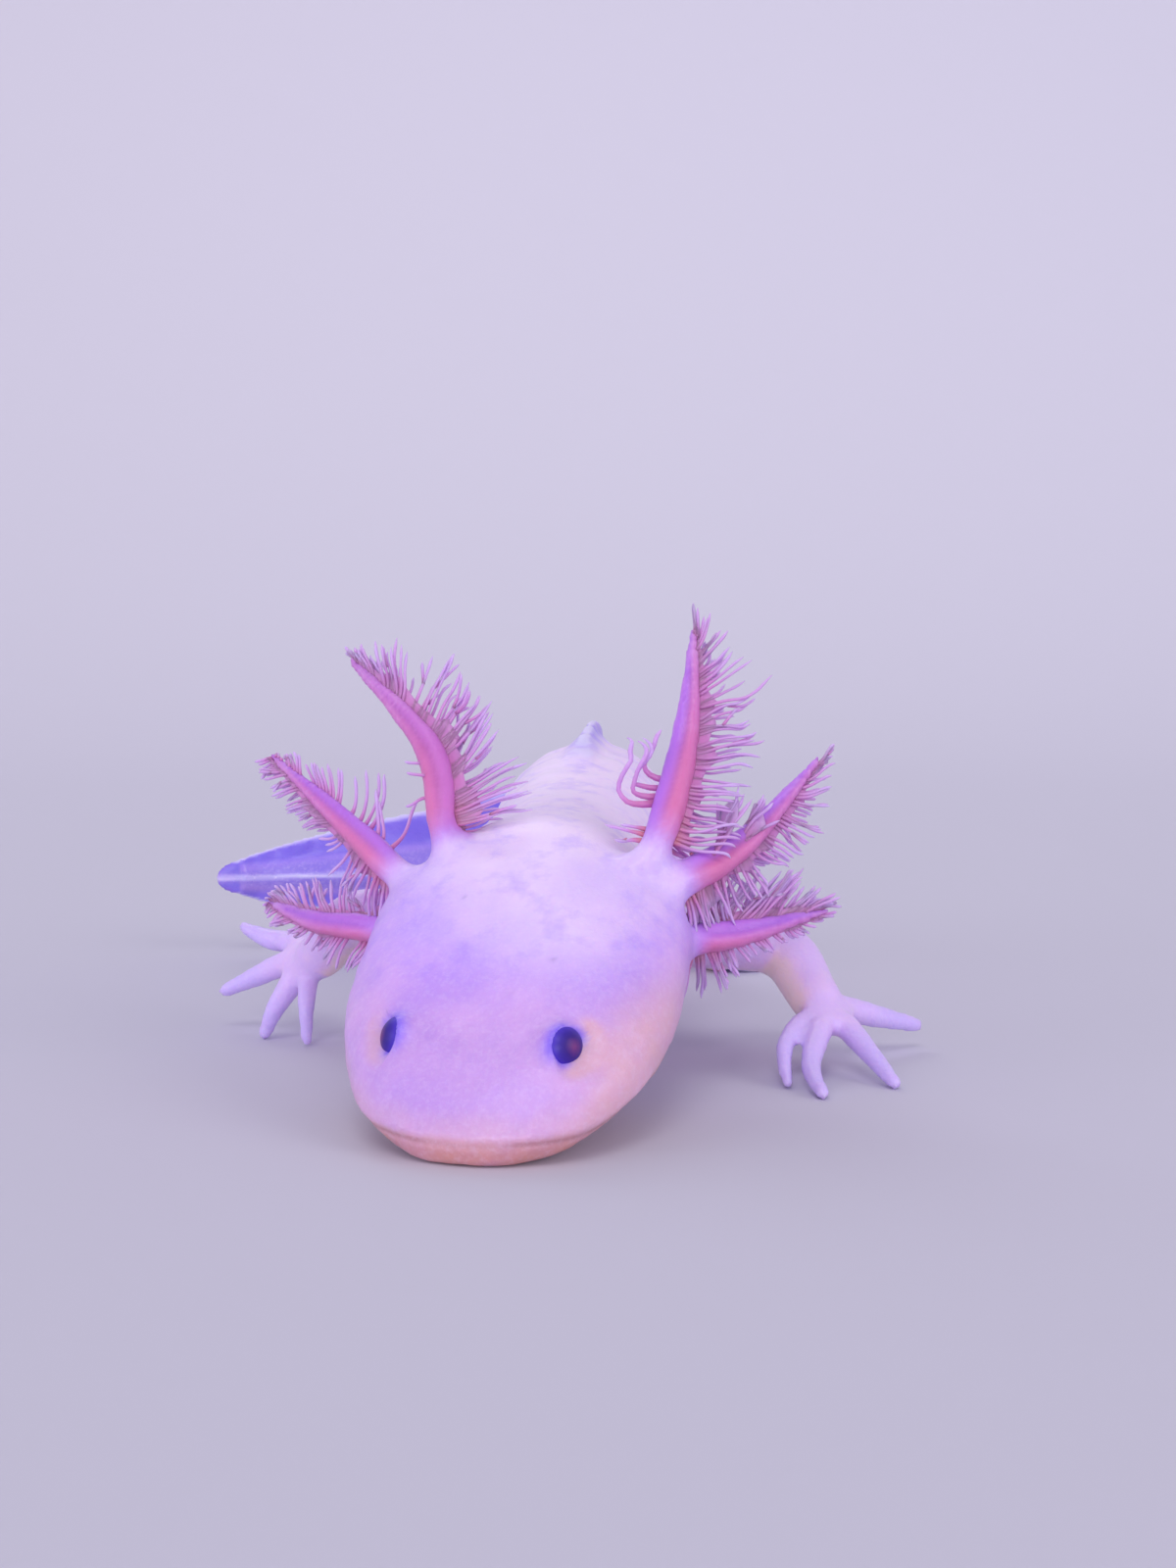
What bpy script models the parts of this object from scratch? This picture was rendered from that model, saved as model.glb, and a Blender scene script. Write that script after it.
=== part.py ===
"""A still, life-size young axolotl, resting on its chin, finger tips and hind toes.

Sizes are millimetres until a mesh is made. The animal faces -Y, its left side is +X and the floor
is z = 0. Everything hangs on one empty, which puts the origin under the middle of the animal.
"""
import math

import bmesh
import bpy
from mathutils import Matrix, Vector

MM = 0.001
GAP = 0.3                # clear space between neighbouring pieces
UP = Vector((0, 0, 1))

# Head: in its own frame u is to the left, v back from the snout and w up from the jaw's plane.
HEAD_SNOUT = Vector((-0.85, -39.4, -0.8))
HEAD_YAW = math.radians(10.4)
HEAD_PITCH = math.radians(19.8)
HEAD_LENGTH = 24.2
HEAD_HALF_WIDTH = 10.85
HEAD_WIDEST = 16.4       # how far back the head reaches its full width
NAPE_NARROWING = 3.4     # how much narrower and lower the head ends, at the neck
NAPE_DROP = 0.9
BODY_SIDES = 24

EYE_RADIUS = 1.2
EYE_PLACE = Vector((5.12, 6.1, 5.35))
EYE_SHIFT = -0.35        # both eyes sit a little to the right of the middle

# Neck, trunk and tail: rows of centre x, y, z, half width and half height, front to back.
SPINE = (
    (3.2, -15.0, 12.6, 7.8, 5.6),
    (3.9, -10.0, 12.9, 7.5, 5.9),
    (4.7, -3.5, 14.0, 7.2, 6.3),
    (5.6, 6.5, 15.7, 7.2, 6.7),
    (6.4, 16.5, 16.3, 6.6, 6.5),
    (6.8, 21.5, 15.2, 5.0, 5.6),
    (6.0, 26.5, 13.0, 3.6, 4.3),
    (1.5, 32.0, 10.6, 2.6, 3.4),
    (-6.0, 35.8, 9.2, 1.9, 2.6),
    (-15.5, 37.5, 8.6, 1.4, 1.8),
    (-25.0, 37.8, 8.2, 0.95, 1.1),
    (-30.8, 37.0, 8.1, 0.6, 0.6),
)
NECK_END = 0.7           # places along the spine, counted in rows
TRUNK_MIDDLE = 2.9
TRUNK_END = 5.3
TAIL_CUTS = (7.2, 9.1)
TAIL_END = 11.0
TAIL_SIDES = 12

# Fins: rows of place along the spine and reach beyond the muscle.
FIN_ROOT_THICK = 0.9
FIN_EDGE_THICK = 0.55
BACK_FIN_ROOT_THICK = 2.6
BACK_FIN = ((2.5, 0.3), (3.3, 1.2), (4.2, 2.4), (5.1, 4.4))
TAIL_FIN_TOP = ((5.2, 3.7), (6.2, 4.4), (7.2, 4.6), (8.2, 4.5), (9.1, 3.8), (10.2, 2.3), (10.95, 1.1))
TAIL_FIN_UNDER = ((5.9, 0.4), (7.0, 1.5), (8.2, 2.3), (9.1, 2.5), (10.2, 2.2), (10.95, 1.1))
TAIL_LOBE_LENGTH = 2.1   # the thin rounded end of the tail, past the muscle
TAIL_LOBE_HALF_HEIGHT = 1.55
TAIL_LOBE_PARTS = (0.12, 0.4, 0.7, 0.92)

# Gills: roots in the head's frame, given for the left side.
GILL_ROOTS = {"top": (7.0, 22.0, 10.6), "middle": (9.5, 21.9, 8.5), "low": (10.2, 21.6, 4.2)}
GILL_ROOT_SHIFT = {"top": 1.1, "middle": 0.2, "low": 0.0}    # the nape turns to the left
GILL_RADII = (1.5, 1.35, 0.95, 0.35)
GILL_SIZES = {"top": 1.0, "middle": 0.9, "low": 0.8}
# Middle and tip of each stalk, and the way its two rows of filaments point.
GILLS = {
    "gill_left_top": ((12.8, -18.5, 24.0), (13.6, -15.0, 31.7), (1, 0.25, 0.1), (0.6, 0.8, 0)),
    "gill_left_middle": ((16.9, -20.0, 17.1), (22.2, -17.5, 22.6), (0.5, 0.3, -0.8), (0.1, 1, 0.2)),
    "gill_left_low": ((16.8, -20.5, 10.8), (22.9, -17.0, 11.8), (0, 0.5, 0.85), (0.2, 0.4, -0.9)),
    "gill_right_top": ((-5.3, -16.0, 23.2), (-11.6, -11.0, 29.8), (0.9, 0.2, 0.3), (0.4, 0.9, 0)),
    "gill_right_middle": ((-11.8, -15.5, 18.3), (-17.5, -11.5, 22.7), (0.4, 0.4, 0.8),
                          (-0.5, 0.3, -0.8)),
    "gill_right_low": ((-13.8, -14.5, 10.7), (-18.2, -10.0, 11.6), (0, 0.5, 0.85), (-0.2, 0.3, -0.9)),
}
FILAMENTS = 7            # bundles of filaments in a row
FILAMENT_PLACES = (1.35, 2.92)   # first and last bundle, counted in points of the stalk
FILAMENT_LEAN = 0.45     # how far the bundles lean to the stalk's tip
SECOND_ROW = 0.85        # reach of the second row against the first
FILAMENT_TAPER = 0.75
FILAMENT_REACH = {"top": 4.3, "middle": 3.5, "low": 3.3}
FILAMENT_WIDE = 0.75
FILAMENT_THIN = 0.55

# Legs: inside the trunk, shoulder or hip, elbow or knee, wrist or ankle, and middle of the palm.
LEG_RADII = (2.2, 2.1, 2.0, 1.7, 1.5)
LEG_SIDES = 10
# Palm or sole: how far from wrist to its middle, half width and half thickness.
PALM = ((0.65, 1.75, 1.1), (1.0, 2.0, 0.95), (1.4, 1.7, 0.8))
PALM_SIDES = 8
ARM_LEFT = ((7.5, -11.5, 10.5), (11.6, -11.2, 9.2), (20.2, -8.7, 8.0), (22.9, -12.0, 4.7),
            (23.8, -14.0, 3.6))
ARM_RIGHT = ((-0.5, -10.8, 10.5), (-3.9, -10.2, 9.6), (-11.4, -9.0, 10.2), (-15.0, -5.6, 6.8),
             (-16.9, -4.4, 6.0))
LEG_LEFT = ((8.5, 17.0, 14.5), (12.6, 17.6, 12.4), (16.4, 20.0, 9.2), (17.0, 24.2, 4.2),
            (18.2, 26.4, 1.4))
LEG_RIGHT = ((4.5, 17.0, 14.5), (0.4, 17.2, 12.4), (-4.2, 19.4, 9.2), (-5.4, 22.8, 4.2),
             (-7.3, 23.8, 1.4))
# Fingers and toes: knuckle, middle and tip.
FINGERS = {
    "hand_left": (((25.2, -11.8, 3.7), (28.2, -10.2, 2.8), (31.2, -8.6, 1.9)),
                  ((24.9, -15.2, 3.0), (26.0, -18.2, 1.8), (27.2, -21.1, 0.15)),
                  ((22.4, -16.7, 3.0), (21.2, -20.5, 1.4), (21.8, -23.9, 0.15)),
                  ((21.6, -15.2, 3.4), (20.2, -18.8, 2.3), (19.9, -21.1, 0.15))),
    "hand_right": (((-17.2, -2.2, 7.1), (-20.3, 0.4, 7.2), (-22.6, 1.8, 8.0)),
                   ((-18.5, -3.0, 5.6), (-21.0, -1.9, 4.4), (-23.5, -1.2, 3.2)),
                   ((-17.5, -5.0, 4.4), (-18.8, -5.2, 2.3), (-19.6, -4.9, 0.15)),
                   ((-16.0, -6.0, 4.9), (-15.9, -7.3, 2.8), (-15.8, -7.6, 0.15))),
    "foot_left": (((18.9, 25.2, 1.4), (21.0, 25.4, 0.9), (23.2, 26.0, 0.15)),
                  ((19.4, 26.4, 1.3), (21.4, 27.6, 0.8), (23.2, 29.2, 0.15)),
                  ((19.2, 27.3, 1.3), (20.4, 29.4, 0.8), (21.6, 31.4, 0.15)),
                  ((18.5, 27.7, 1.3), (18.8, 29.8, 0.8), (19.2, 31.8, 0.15)),
                  ((17.6, 27.6, 1.3), (17.2, 29.2, 0.8), (16.9, 30.8, 0.15))),
    "foot_right": (((-7.2, 22.4, 1.4), (-8.4, 20.4, 0.9), (-9.8, 18.6, 0.15)),
                   ((-8.4, 22.7, 1.3), (-10.6, 21.3, 0.8), (-12.6, 20.2, 0.15)),
                   ((-8.9, 23.5, 1.3), (-11.3, 23.1, 0.8), (-13.6, 22.8, 0.15)),
                   ((-8.8, 24.4, 1.3), (-10.9, 25.0, 0.8), (-13.0, 25.6, 0.15)),
                   ((-8.2, 25.1, 1.3), (-9.6, 26.3, 0.8), (-11.2, 27.3, 0.15))),
}
FINGER_RADII = (1.0, 0.92, 0.7, 0.42)
FINGER_SIZES = {"hand_left": (1.05, 0.9, 0.82, 0.68), "hand_right": (0.95, 0.95, 0.9, 0.78)}

# Colours: pale lilac-white skin, pink gills, dark eyes.
SKIN = (0.86, 0.74, 0.84)
LIMB = (0.87, 0.75, 0.80)
FIN = (0.70, 0.66, 0.88)
GILL = (0.80, 0.42, 0.58)
EYE = (0.03, 0.02, 0.07)


def smooth(rows, place):
    """The row at a place, counted in rows, on a smooth curve through all rows."""
    last = len(rows) - 1
    low = min(max(int(place), 0), last - 1)
    part = place - low
    before, start, end, after = (Vector(rows[min(max(k, 0), last)]) for k in range(low - 1, low + 3))
    slope_in = (end - before) * 0.5
    slope_out = (after - start) * 0.5
    square = part * part
    cube = square * part
    return (start * (2 * cube - 3 * square + 1) + slope_in * (cube - 2 * square + part)
            + end * (3 * square - 2 * cube) + slope_out * (cube - square))


def straight(rows, place):
    """The height at a place, on straight lines between rows of place and height."""
    for (start, low), (end, high) in zip(rows, rows[1:]):
        if place <= end:
            return low + (high - low) * (place - start) / (end - start)
    return rows[-1][1]


def spread(start, end, count):
    """Even steps from start to end, both included."""
    return [start + (end - start) * k / (count - 1) for k in range(count)]


def rounded(part, power):
    """A quarter of a superellipse: 0 at 0 and 1 at 1, steep at first and level at the end."""
    part = min(max(part, 0.0), 1.0)
    return (1 - (1 - part) ** power) ** (1 / power)


def eased(part):
    part = min(max(part, 0.0), 1.0)
    return part * part * (3 - 2 * part)


def squared(value, power):
    """A sine or cosine that makes a rounder-cornered ring as the power grows past 2."""
    return math.copysign(abs(value) ** (2 / power), value)


# Rings of points round the body

def head_frame():
    turn = Matrix.Rotation(-HEAD_YAW, 4, "Z") @ Matrix.Rotation(HEAD_PITCH, 4, "X")
    return Matrix.Translation(HEAD_SNOUT) @ turn


def head_sizes(v):
    """Half width, and the heights of the crown, the widest line and the underside at v."""
    half = HEAD_HALF_WIDTH * rounded(v / HEAD_WIDEST, 2.2) - NAPE_NARROWING * eased((v - 20.5) / 4.5)
    widest = 1.8 + 0.16 * v
    rise = (1.7 + 0.242 * v) * rounded((v + 0.05) / 4.5, 2.0) + 0.5 * math.sin(0.16 * v)
    rise -= NAPE_DROP * eased((v - 20.0) / 4.2)
    drop = (widest + 0.25 * eased(v / 12)) * rounded((v + 0.05) / 3.0, 2.2)
    return half, widest + rise, widest, widest - drop


def head_ring(v, margin=0.0):
    half, crown, widest, under = head_sizes(v)
    frame = head_frame()
    points = []
    for k in range(BODY_SIDES):
        angle = 2 * math.pi * k / BODY_SIDES
        above = math.sin(angle) >= 0
        tall = crown - widest if above else widest - under
        power = 2.2 if above else 2.7
        u = (half + margin) * squared(math.cos(angle), power)
        w = widest + (tall + margin) * squared(math.sin(angle), power)
        points.append(frame @ Vector((u, v, w)))
    return points


def spine_frame(place):
    """The centre, the directions to the side and up, and the half sizes at a place."""
    centre = smooth([row[:3] for row in SPINE], place)
    sizes = smooth([(row[3], row[4], 0) for row in SPINE], place)
    step = 0.02
    along = smooth([row[:3] for row in SPINE], place + step) - centre
    side = Vector((along.y, -along.x, 0)).normalized()
    up = side.cross(along).normalized()
    return centre, side, up, sizes.x, sizes.y


def spine_ring(place, sides, margin=0.0):
    centre, side, up, half_width, half_height = spine_frame(place)
    points = []
    for k in range(sides):
        angle = 2 * math.pi * k / sides
        across = (half_width + margin) * squared(math.cos(angle), 2.15)
        rise = (half_height + margin) * squared(math.sin(angle), 2.15)
        points.append(centre + side * across + up * rise)
    return points


def head_rings(margin=0.0):
    places = [0.15, 0.7, 1.5, 2.7, 4.3, 6.4, 9.0, 12.0, 15.0, 18.0, 20.4, 22.3, HEAD_LENGTH]
    return [head_ring(v, margin) for v in places]


def neck_rings(count, margin=0.0):
    """Rings that carry the back of the head over into the front of the trunk."""
    keys = [head_ring(HEAD_LENGTH - 4, margin), head_ring(HEAD_LENGTH + GAP, margin),
            spine_ring(NECK_END, BODY_SIDES, margin), spine_ring(NECK_END + 1.2, BODY_SIDES, margin)]
    rings = []
    for place in spread(1.0, 2.0, count):
        rings.append([smooth([key[k] for key in keys], place) for k in range(BODY_SIDES)])
    return rings


def spine_rings(start, end, count, sides, margin=0.0):
    return [spine_ring(place, sides, margin) for place in spread(start, end, count)]


def oval(centre, side, lift, sides):
    angles = [2 * math.pi * k / sides for k in range(sides)]
    return [centre + side * math.cos(a) + lift * math.sin(a) for a in angles]


def tube_rings(points, radii, start, end, count, sides, round_end=False):
    """Rings of a tapered limb between two places of a smooth path, with a round end if asked."""
    rings = []
    for place in spread(start, end, count):
        centre = smooth(points, place)
        along = (smooth(points, place + 0.02) - smooth(points, place - 0.02)).normalized()
        side = along.cross(UP).normalized()
        lift = side.cross(along)
        radius = smooth([(r, 0, 0) for r in radii], place).x
        rings.append(oval(centre, side * radius, lift * radius, sides))
    if round_end:
        middle = centre + along * radius * 0.7
        rings.append(oval(middle, side * radius * 0.65, lift * radius * 0.65, sides))
    return rings


# Meshes

def material(name, colour, roughness):
    made = bpy.data.materials.new(name)
    made.use_nodes = True
    shader = made.node_tree.nodes["Principled BSDF"]
    shader.inputs["Base Color"].default_value = (*colour, 1)
    shader.inputs["Roughness"].default_value = roughness
    shader.inputs["Metallic"].default_value = 0.0
    return made


def add_loft(bm, rings):
    """A closed skin through the rings, with a fan at each end and nothing below the floor."""
    loops = []
    for ring in rings:
        loops.append([bm.verts.new(Vector((p.x, p.y, max(p.z, 0))) * MM) for p in ring])
    count = len(loops[0])
    for near, far in zip(loops, loops[1:]):
        for k in range(count):
            after = (k + 1) % count
            bm.faces.new((near[k], near[after], far[after], far[k]))
    for loop in (loops[0], loops[-1]):
        middle = sum((vert.co for vert in loop), Vector()) / count
        tip = bm.verts.new(middle)
        for k in range(count):
            bm.faces.new((loop[k], loop[(k + 1) % count], tip))


def add_bar(bm, start, end, wide, thin, across):
    """A four-sided bar that narrows to its end."""
    along = (end - start).normalized()
    side = (across - along * across.dot(along)).normalized()
    lift = side.cross(along)
    ends = []
    for middle, scale in ((start, 1.0), (end, FILAMENT_TAPER)):
        corners = [side * a * wide * scale / 2 + lift * b * thin / 2
                   for a, b in ((-1, -1), (1, -1), (1, 1), (-1, 1))]
        ends.append([bm.verts.new((middle + corner) * MM) for corner in corners])
    low, high = ends
    bm.faces.new(low)
    bm.faces.new(high)
    for k in range(4):
        after = (k + 1) % 4
        bm.faces.new((low[k], low[after], high[after], high[k]))


def finish(bm, name, look=None):
    """An object from the bmesh: hung on the empty, and a hidden guide if it has no material."""
    bmesh.ops.recalc_face_normals(bm, faces=bm.faces)
    bmesh.ops.triangulate(bm, faces=bm.faces)
    mesh = bpy.data.meshes.new(name)
    bm.to_mesh(mesh)
    bm.free()
    mesh.shade_smooth()
    piece = bpy.data.objects.new(name, mesh)
    bpy.context.scene.collection.objects.link(piece)
    piece.parent = ANCHOR
    if look:
        mesh.materials.append(look)
    else:
        piece.hide_render = True
        piece.display_type = "WIRE"
    return piece


def loft(name, rings, look=None):
    bm = bmesh.new()
    add_loft(bm, rings)
    return finish(bm, name, look)


def combine(piece, guide, operation):
    step = piece.modifiers.new(guide.name, "BOOLEAN")
    step.operation = operation
    step.solver = "EXACT"
    step.object = guide


# Pieces

def make_ball(name, side, radius, look=None):
    """An eye, or the wider ball that clears its socket, on the left (1) or right (-1)."""
    bm = bmesh.new()
    bmesh.ops.create_uvsphere(bm, u_segments=12, v_segments=6, radius=radius * MM)
    place = head_frame() @ Vector((EYE_PLACE.x * side + EYE_SHIFT, EYE_PLACE.y, EYE_PLACE.z))
    bmesh.ops.translate(bm, verts=bm.verts, vec=place * MM)
    return finish(bm, name, look)


def make_head():
    head = loft("head", head_rings(), material("head_skin", SKIN, 0.35))
    for side, name in ((1, "left"), (-1, "right")):
        make_ball("eye_" + name, side, EYE_RADIUS, material("eye_" + name + "_dark", EYE, 0.1))
        combine(head, make_ball("socket_" + name, side, EYE_RADIUS + GAP), "DIFFERENCE")


def clear_place(place, sign):
    """A place half a gap along the spine from another one, before it (-1) or after it (1)."""
    step = 0.01
    rows = [row[:3] for row in SPINE]
    speed = (smooth(rows, place + step) - smooth(rows, place - step)).length / (2 * step)
    return place + sign * 0.58 * GAP / speed


def tail_lobe_rings():
    """The thin rounded blade that ends the tail, a gap past the ends of its fins."""
    centre, side, up, _, _ = spine_frame(TAIL_END)
    along = up.cross(side)
    rings = []
    for part in TAIL_LOBE_PARTS:
        tall = TAIL_LOBE_HALF_HEIGHT * math.sqrt(1 - part * part)
        middle = centre + along * (GAP + part * TAIL_LOBE_LENGTH)
        rings.append(oval(middle, side * FIN_EDGE_THICK / 2, up * tall, TAIL_SIDES))
    return rings


def make_trunk_and_tail():
    loft("neck", neck_rings(4), material("neck_skin", SKIN, 0.38))
    cuts = [NECK_END, TRUNK_MIDDLE, TRUNK_END, *TAIL_CUTS, TAIL_END]
    names = ("trunk_front", "trunk_rear", "tail_base", "tail_middle", "tail_tip")
    counts = (6, 7, 7, 6, 5)
    for name, start, end, count in zip(names, cuts, cuts[1:], counts):
        first = clear_place(start, 1) if start != NECK_END else start + 0.06
        last = clear_place(end, -1) if end != TAIL_END else end
        sides = TAIL_SIDES if name.startswith("tail") else BODY_SIDES
        rings = spine_rings(first, last, count, sides)
        if end == TAIL_END:
            rings += tail_lobe_rings()
        loft(name, rings, material(name + "_skin", SKIN, 0.38))


def make_fin(name, rows, sign, root_thick, count):
    """A fin over (1) or under (-1) the muscle, clear of it by the gap and thinner to its edge."""
    rings = []
    for place in spread(rows[0][0], rows[-1][0], count):
        centre, side, up, _, half_height = spine_frame(place)
        root = centre + up * sign * (half_height + GAP)
        edge = centre + up * sign * (half_height + straight(rows, place))
        wide = side * root_thick / 2
        thin = side * FIN_EDGE_THICK / 2
        rings.append([root + wide, edge + thin, edge - thin, root - wide])
    loft(name, rings, material(name + "_skin", FIN, 0.3))


def make_fins():
    make_fin("back_fin", BACK_FIN, 1, BACK_FIN_ROOT_THICK, 8)
    make_fin("tail_fin_upper", TAIL_FIN_TOP, 1, FIN_ROOT_THICK, 16)
    make_fin("tail_fin_lower", TAIL_FIN_UNDER, -1, FIN_ROOT_THICK, 14)


def make_gill(name):
    """A stalk that bends up from the head, with two rows of filament bundles."""
    middle, tip, *ways = (Vector(value) for value in GILLS[name])
    side = 1 if "left" in name else -1
    level = name.split("_")[-1]
    u, v, w = GILL_ROOTS[level]
    shift = GILL_ROOT_SHIFT[level]
    root = head_frame() @ Vector((u * side + shift, v, w))
    inside = head_frame() @ Vector(((u - 2.5) * side + shift, v - 0.5, w - 1.5))
    path = (inside, root, middle, tip)
    look = material(name + "_skin", GILL, 0.4)
    radii = [radius * GILL_SIZES[level] for radius in GILL_RADII]
    stalk = loft(name, tube_rings(path, radii, 0.0, 3.0, 8, 6, round_end=True), look)
    for row, way in enumerate(ways):
        bm = bmesh.new()
        for place in spread(*FILAMENT_PLACES, FILAMENTS):
            start = smooth(path, place)
            along = (smooth(path, place + 0.02) - start).normalized()
            out = (way - along * way.dot(along)).normalized()
            reach = FILAMENT_REACH[level] * (1 - 0.45 * eased((place - 2.1) / 0.8)) * SECOND_ROW ** row
            end = start + (out + along * FILAMENT_LEAN).normalized() * reach
            add_bar(bm, start, end, FILAMENT_WIDE, FILAMENT_THIN, along)
        combine(stalk, finish(bm, name + "_row" + str(row)), "UNION")
    combine(stalk, HEAD_GUIDE, "DIFFERENCE")


def make_digits(name, path):
    """A palm or sole that widens from the wrist, joined to its fingers or toes."""
    digits = FINGERS[name]
    across = (Vector(digits[0][0]) - Vector(digits[-1][0])).normalized()
    along = (path[4] - path[3]).normalized()
    if across.dot(along.cross(UP)) < 0:
        across = -across
    normal = across.cross(along)
    rings = tube_rings(path, LEG_RADII, 3.04, 3.2, 2, PALM_SIDES)
    for reach, wide, thick in PALM:
        rings.append(oval(path[3].lerp(path[4], reach), across * wide, normal * thick, PALM_SIDES))
    palm = loft(name, rings, material(name + "_skin", LIMB, 0.4))
    for number, digit in enumerate(digits):
        knuckle, bend, tip = (Vector(value) for value in digit)
        root = path[4].lerp(knuckle, 0.3)
        size = FINGER_SIZES[name][number] if name in FINGER_SIZES else 1.0
        radii = [radius * size for radius in FINGER_RADII]
        rings = tube_rings((root, knuckle, bend, tip), radii, 0.0, 3.0, 5, 5, round_end=True)
        combine(palm, loft(name + "_digit" + str(number), rings), "UNION")


def make_leg(side, names, points):
    """A leg's two lengths and its hand or foot, parted by thin cuts at elbow and wrist."""
    path = [Vector(point) for point in points]
    upper, lower, end = (name + "_" + side for name in names)
    rings = tube_rings(path, LEG_RADII, 0.0, 1.97, 8, LEG_SIDES)
    first = loft(upper, rings, material(upper + "_skin", LIMB, 0.4))
    combine(first, TRUNK_GUIDE, "DIFFERENCE")
    rings = tube_rings(path, LEG_RADII, 2.03, 2.96, 6, LEG_SIDES)
    loft(lower, rings, material(lower + "_skin", LIMB, 0.4))
    make_digits(end, path)


def centre_on_floor():
    """Move the empty so that the origin is under the middle of the whole animal."""
    bpy.context.view_layer.update()
    graph = bpy.context.evaluated_depsgraph_get()
    corners = []
    for piece in bpy.data.objects:
        if piece.type == "MESH" and not piece.hide_render:
            seen = piece.evaluated_get(graph)
            corners += [seen.matrix_world @ Vector(corner) for corner in seen.bound_box]
    for axis in (0, 1):
        values = [corner[axis] for corner in corners]
        ANCHOR.location[axis] = -(min(values) + max(values)) / 2


for old in list(bpy.data.objects):
    bpy.data.objects.remove(old)
ANCHOR = bpy.data.objects.new("anchor", None)
bpy.context.scene.collection.objects.link(ANCHOR)

make_head()
make_trunk_and_tail()
make_fins()
HEAD_GUIDE = loft("head_margin", head_rings(GAP) + neck_rings(3, GAP)[1:])
TRUNK_GUIDE = loft("trunk_margin", neck_rings(3, GAP) + spine_rings(NECK_END + 0.2, 5.6, 12, BODY_SIDES, GAP))
for gill in GILLS:
    make_gill(gill)
make_leg("left", ("upper_arm", "forearm", "hand"), ARM_LEFT)
make_leg("right", ("upper_arm", "forearm", "hand"), ARM_RIGHT)
make_leg("left", ("thigh", "shank", "foot"), LEG_LEFT)
make_leg("right", ("thigh", "shank", "foot"), LEG_RIGHT)
centre_on_floor()
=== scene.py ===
import math

import bmesh
import bpy
import numpy as np
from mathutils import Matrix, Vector


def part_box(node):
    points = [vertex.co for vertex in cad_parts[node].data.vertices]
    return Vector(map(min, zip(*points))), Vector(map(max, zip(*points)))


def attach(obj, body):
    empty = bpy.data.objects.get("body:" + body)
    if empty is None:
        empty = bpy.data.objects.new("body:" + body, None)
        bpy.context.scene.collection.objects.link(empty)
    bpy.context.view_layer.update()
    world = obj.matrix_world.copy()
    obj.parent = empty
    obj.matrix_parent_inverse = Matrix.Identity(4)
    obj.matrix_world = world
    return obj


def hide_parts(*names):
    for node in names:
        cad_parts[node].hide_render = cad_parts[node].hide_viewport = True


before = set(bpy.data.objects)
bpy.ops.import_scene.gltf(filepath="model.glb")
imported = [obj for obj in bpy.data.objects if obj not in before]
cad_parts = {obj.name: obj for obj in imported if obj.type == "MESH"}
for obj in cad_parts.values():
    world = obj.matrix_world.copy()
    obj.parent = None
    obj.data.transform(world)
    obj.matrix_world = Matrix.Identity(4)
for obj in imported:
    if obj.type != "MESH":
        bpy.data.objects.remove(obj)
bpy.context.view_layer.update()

# Lengths are in millimetres until a mesh is made. The animal faces -Y, its left side is +X
# and the floor is z = 0.
mm = 0.001
up = np.array([0.0, 0.0, 1.0])

head = {
    "snout": (-0.85, -39.4, -0.8),
    "yaw": 10.4,            # degrees that the head turns to its right
    "pitch": 19.8,
    "length": 24.2,
    "halfWidth": 10.85,
    "widestAt": 16.4,
    "napeNarrowing": 3.4,
    "napeDrop": 0.9,
}

trunk = {
    "neckEnd": 0.7,         # places along the spine are counted in its rows
    "tailEnd": 11.0,
    "squareness": 2.15,
    "middleX": 4.0,         # limbs have their inner side towards it
}
# centre x, y, z, half width and half height, from the front of the neck to the end of the tail
spineRows = np.array([
    (3.2, -15.0, 12.6, 7.8, 5.6),
    (3.9, -10.0, 12.9, 7.5, 5.9),
    (4.7, -3.5, 14.0, 7.2, 6.3),
    (5.6, 6.5, 15.7, 7.2, 6.7),
    (6.4, 16.5, 16.3, 6.6, 6.5),
    (6.8, 21.5, 15.2, 5.0, 5.6),
    (6.0, 26.5, 13.0, 3.6, 4.3),
    (1.5, 32.0, 10.6, 2.6, 3.4),
    (-6.0, 35.8, 9.2, 1.9, 2.6),
    (-15.5, 37.5, 8.6, 1.4, 1.8),
    (-25.0, 37.8, 8.2, 0.95, 1.1),
    (-30.8, 37.0, 8.1, 0.6, 0.6),
])

# rows of place along the spine and reach beyond the muscle
fin = {
    "top": ((2.3, -0.4), (3.3, 1.2), (4.2, 2.4), (5.1, 4.2), (6.2, 4.4), (7.2, 4.6), (8.2, 4.5),
            (9.1, 3.8), (10.2, 2.3), (11.0, 1.15)),
    "under": ((5.6, -0.4), (7.0, 1.5), (8.2, 2.3), (9.1, 2.5), (10.2, 2.2), (11.0, 1.15)),
    "lobe": 2.3,            # how far the rounded end of the tail goes past the muscle
    "halfThick": 0.46,
    "rim": 0.27,            # half thickness of the skin's fins, which are thinner than the forms
    "foot": 1.35,           # how much wider the back fin stands on the rump
    "footFall": 0.9,
}

# inside the trunk, shoulder or hip, elbow or knee, wrist or ankle, middle of the palm
limbs = {
    "armLeft": ((7.5, -11.5, 10.5), (11.6, -11.2, 9.2), (20.2, -8.7, 8.0), (22.9, -12.0, 4.7),
                (23.8, -14.0, 3.6)),
    "armRight": ((-0.5, -10.8, 10.5), (-3.9, -10.2, 9.6), (-11.4, -9.0, 10.2), (-15.0, -5.6, 6.8),
                 (-16.9, -4.4, 6.0)),
    "legLeft": ((8.5, 17.0, 14.5), (12.6, 17.6, 12.4), (16.4, 20.0, 9.2), (17.0, 24.2, 4.2),
                (18.2, 26.4, 1.4)),
    "legRight": ((4.5, 17.0, 14.5), (0.4, 17.2, 12.4), (-4.2, 19.4, 9.2), (-5.4, 22.8, 4.2),
                 (-7.3, 23.8, 1.4)),
}
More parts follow.
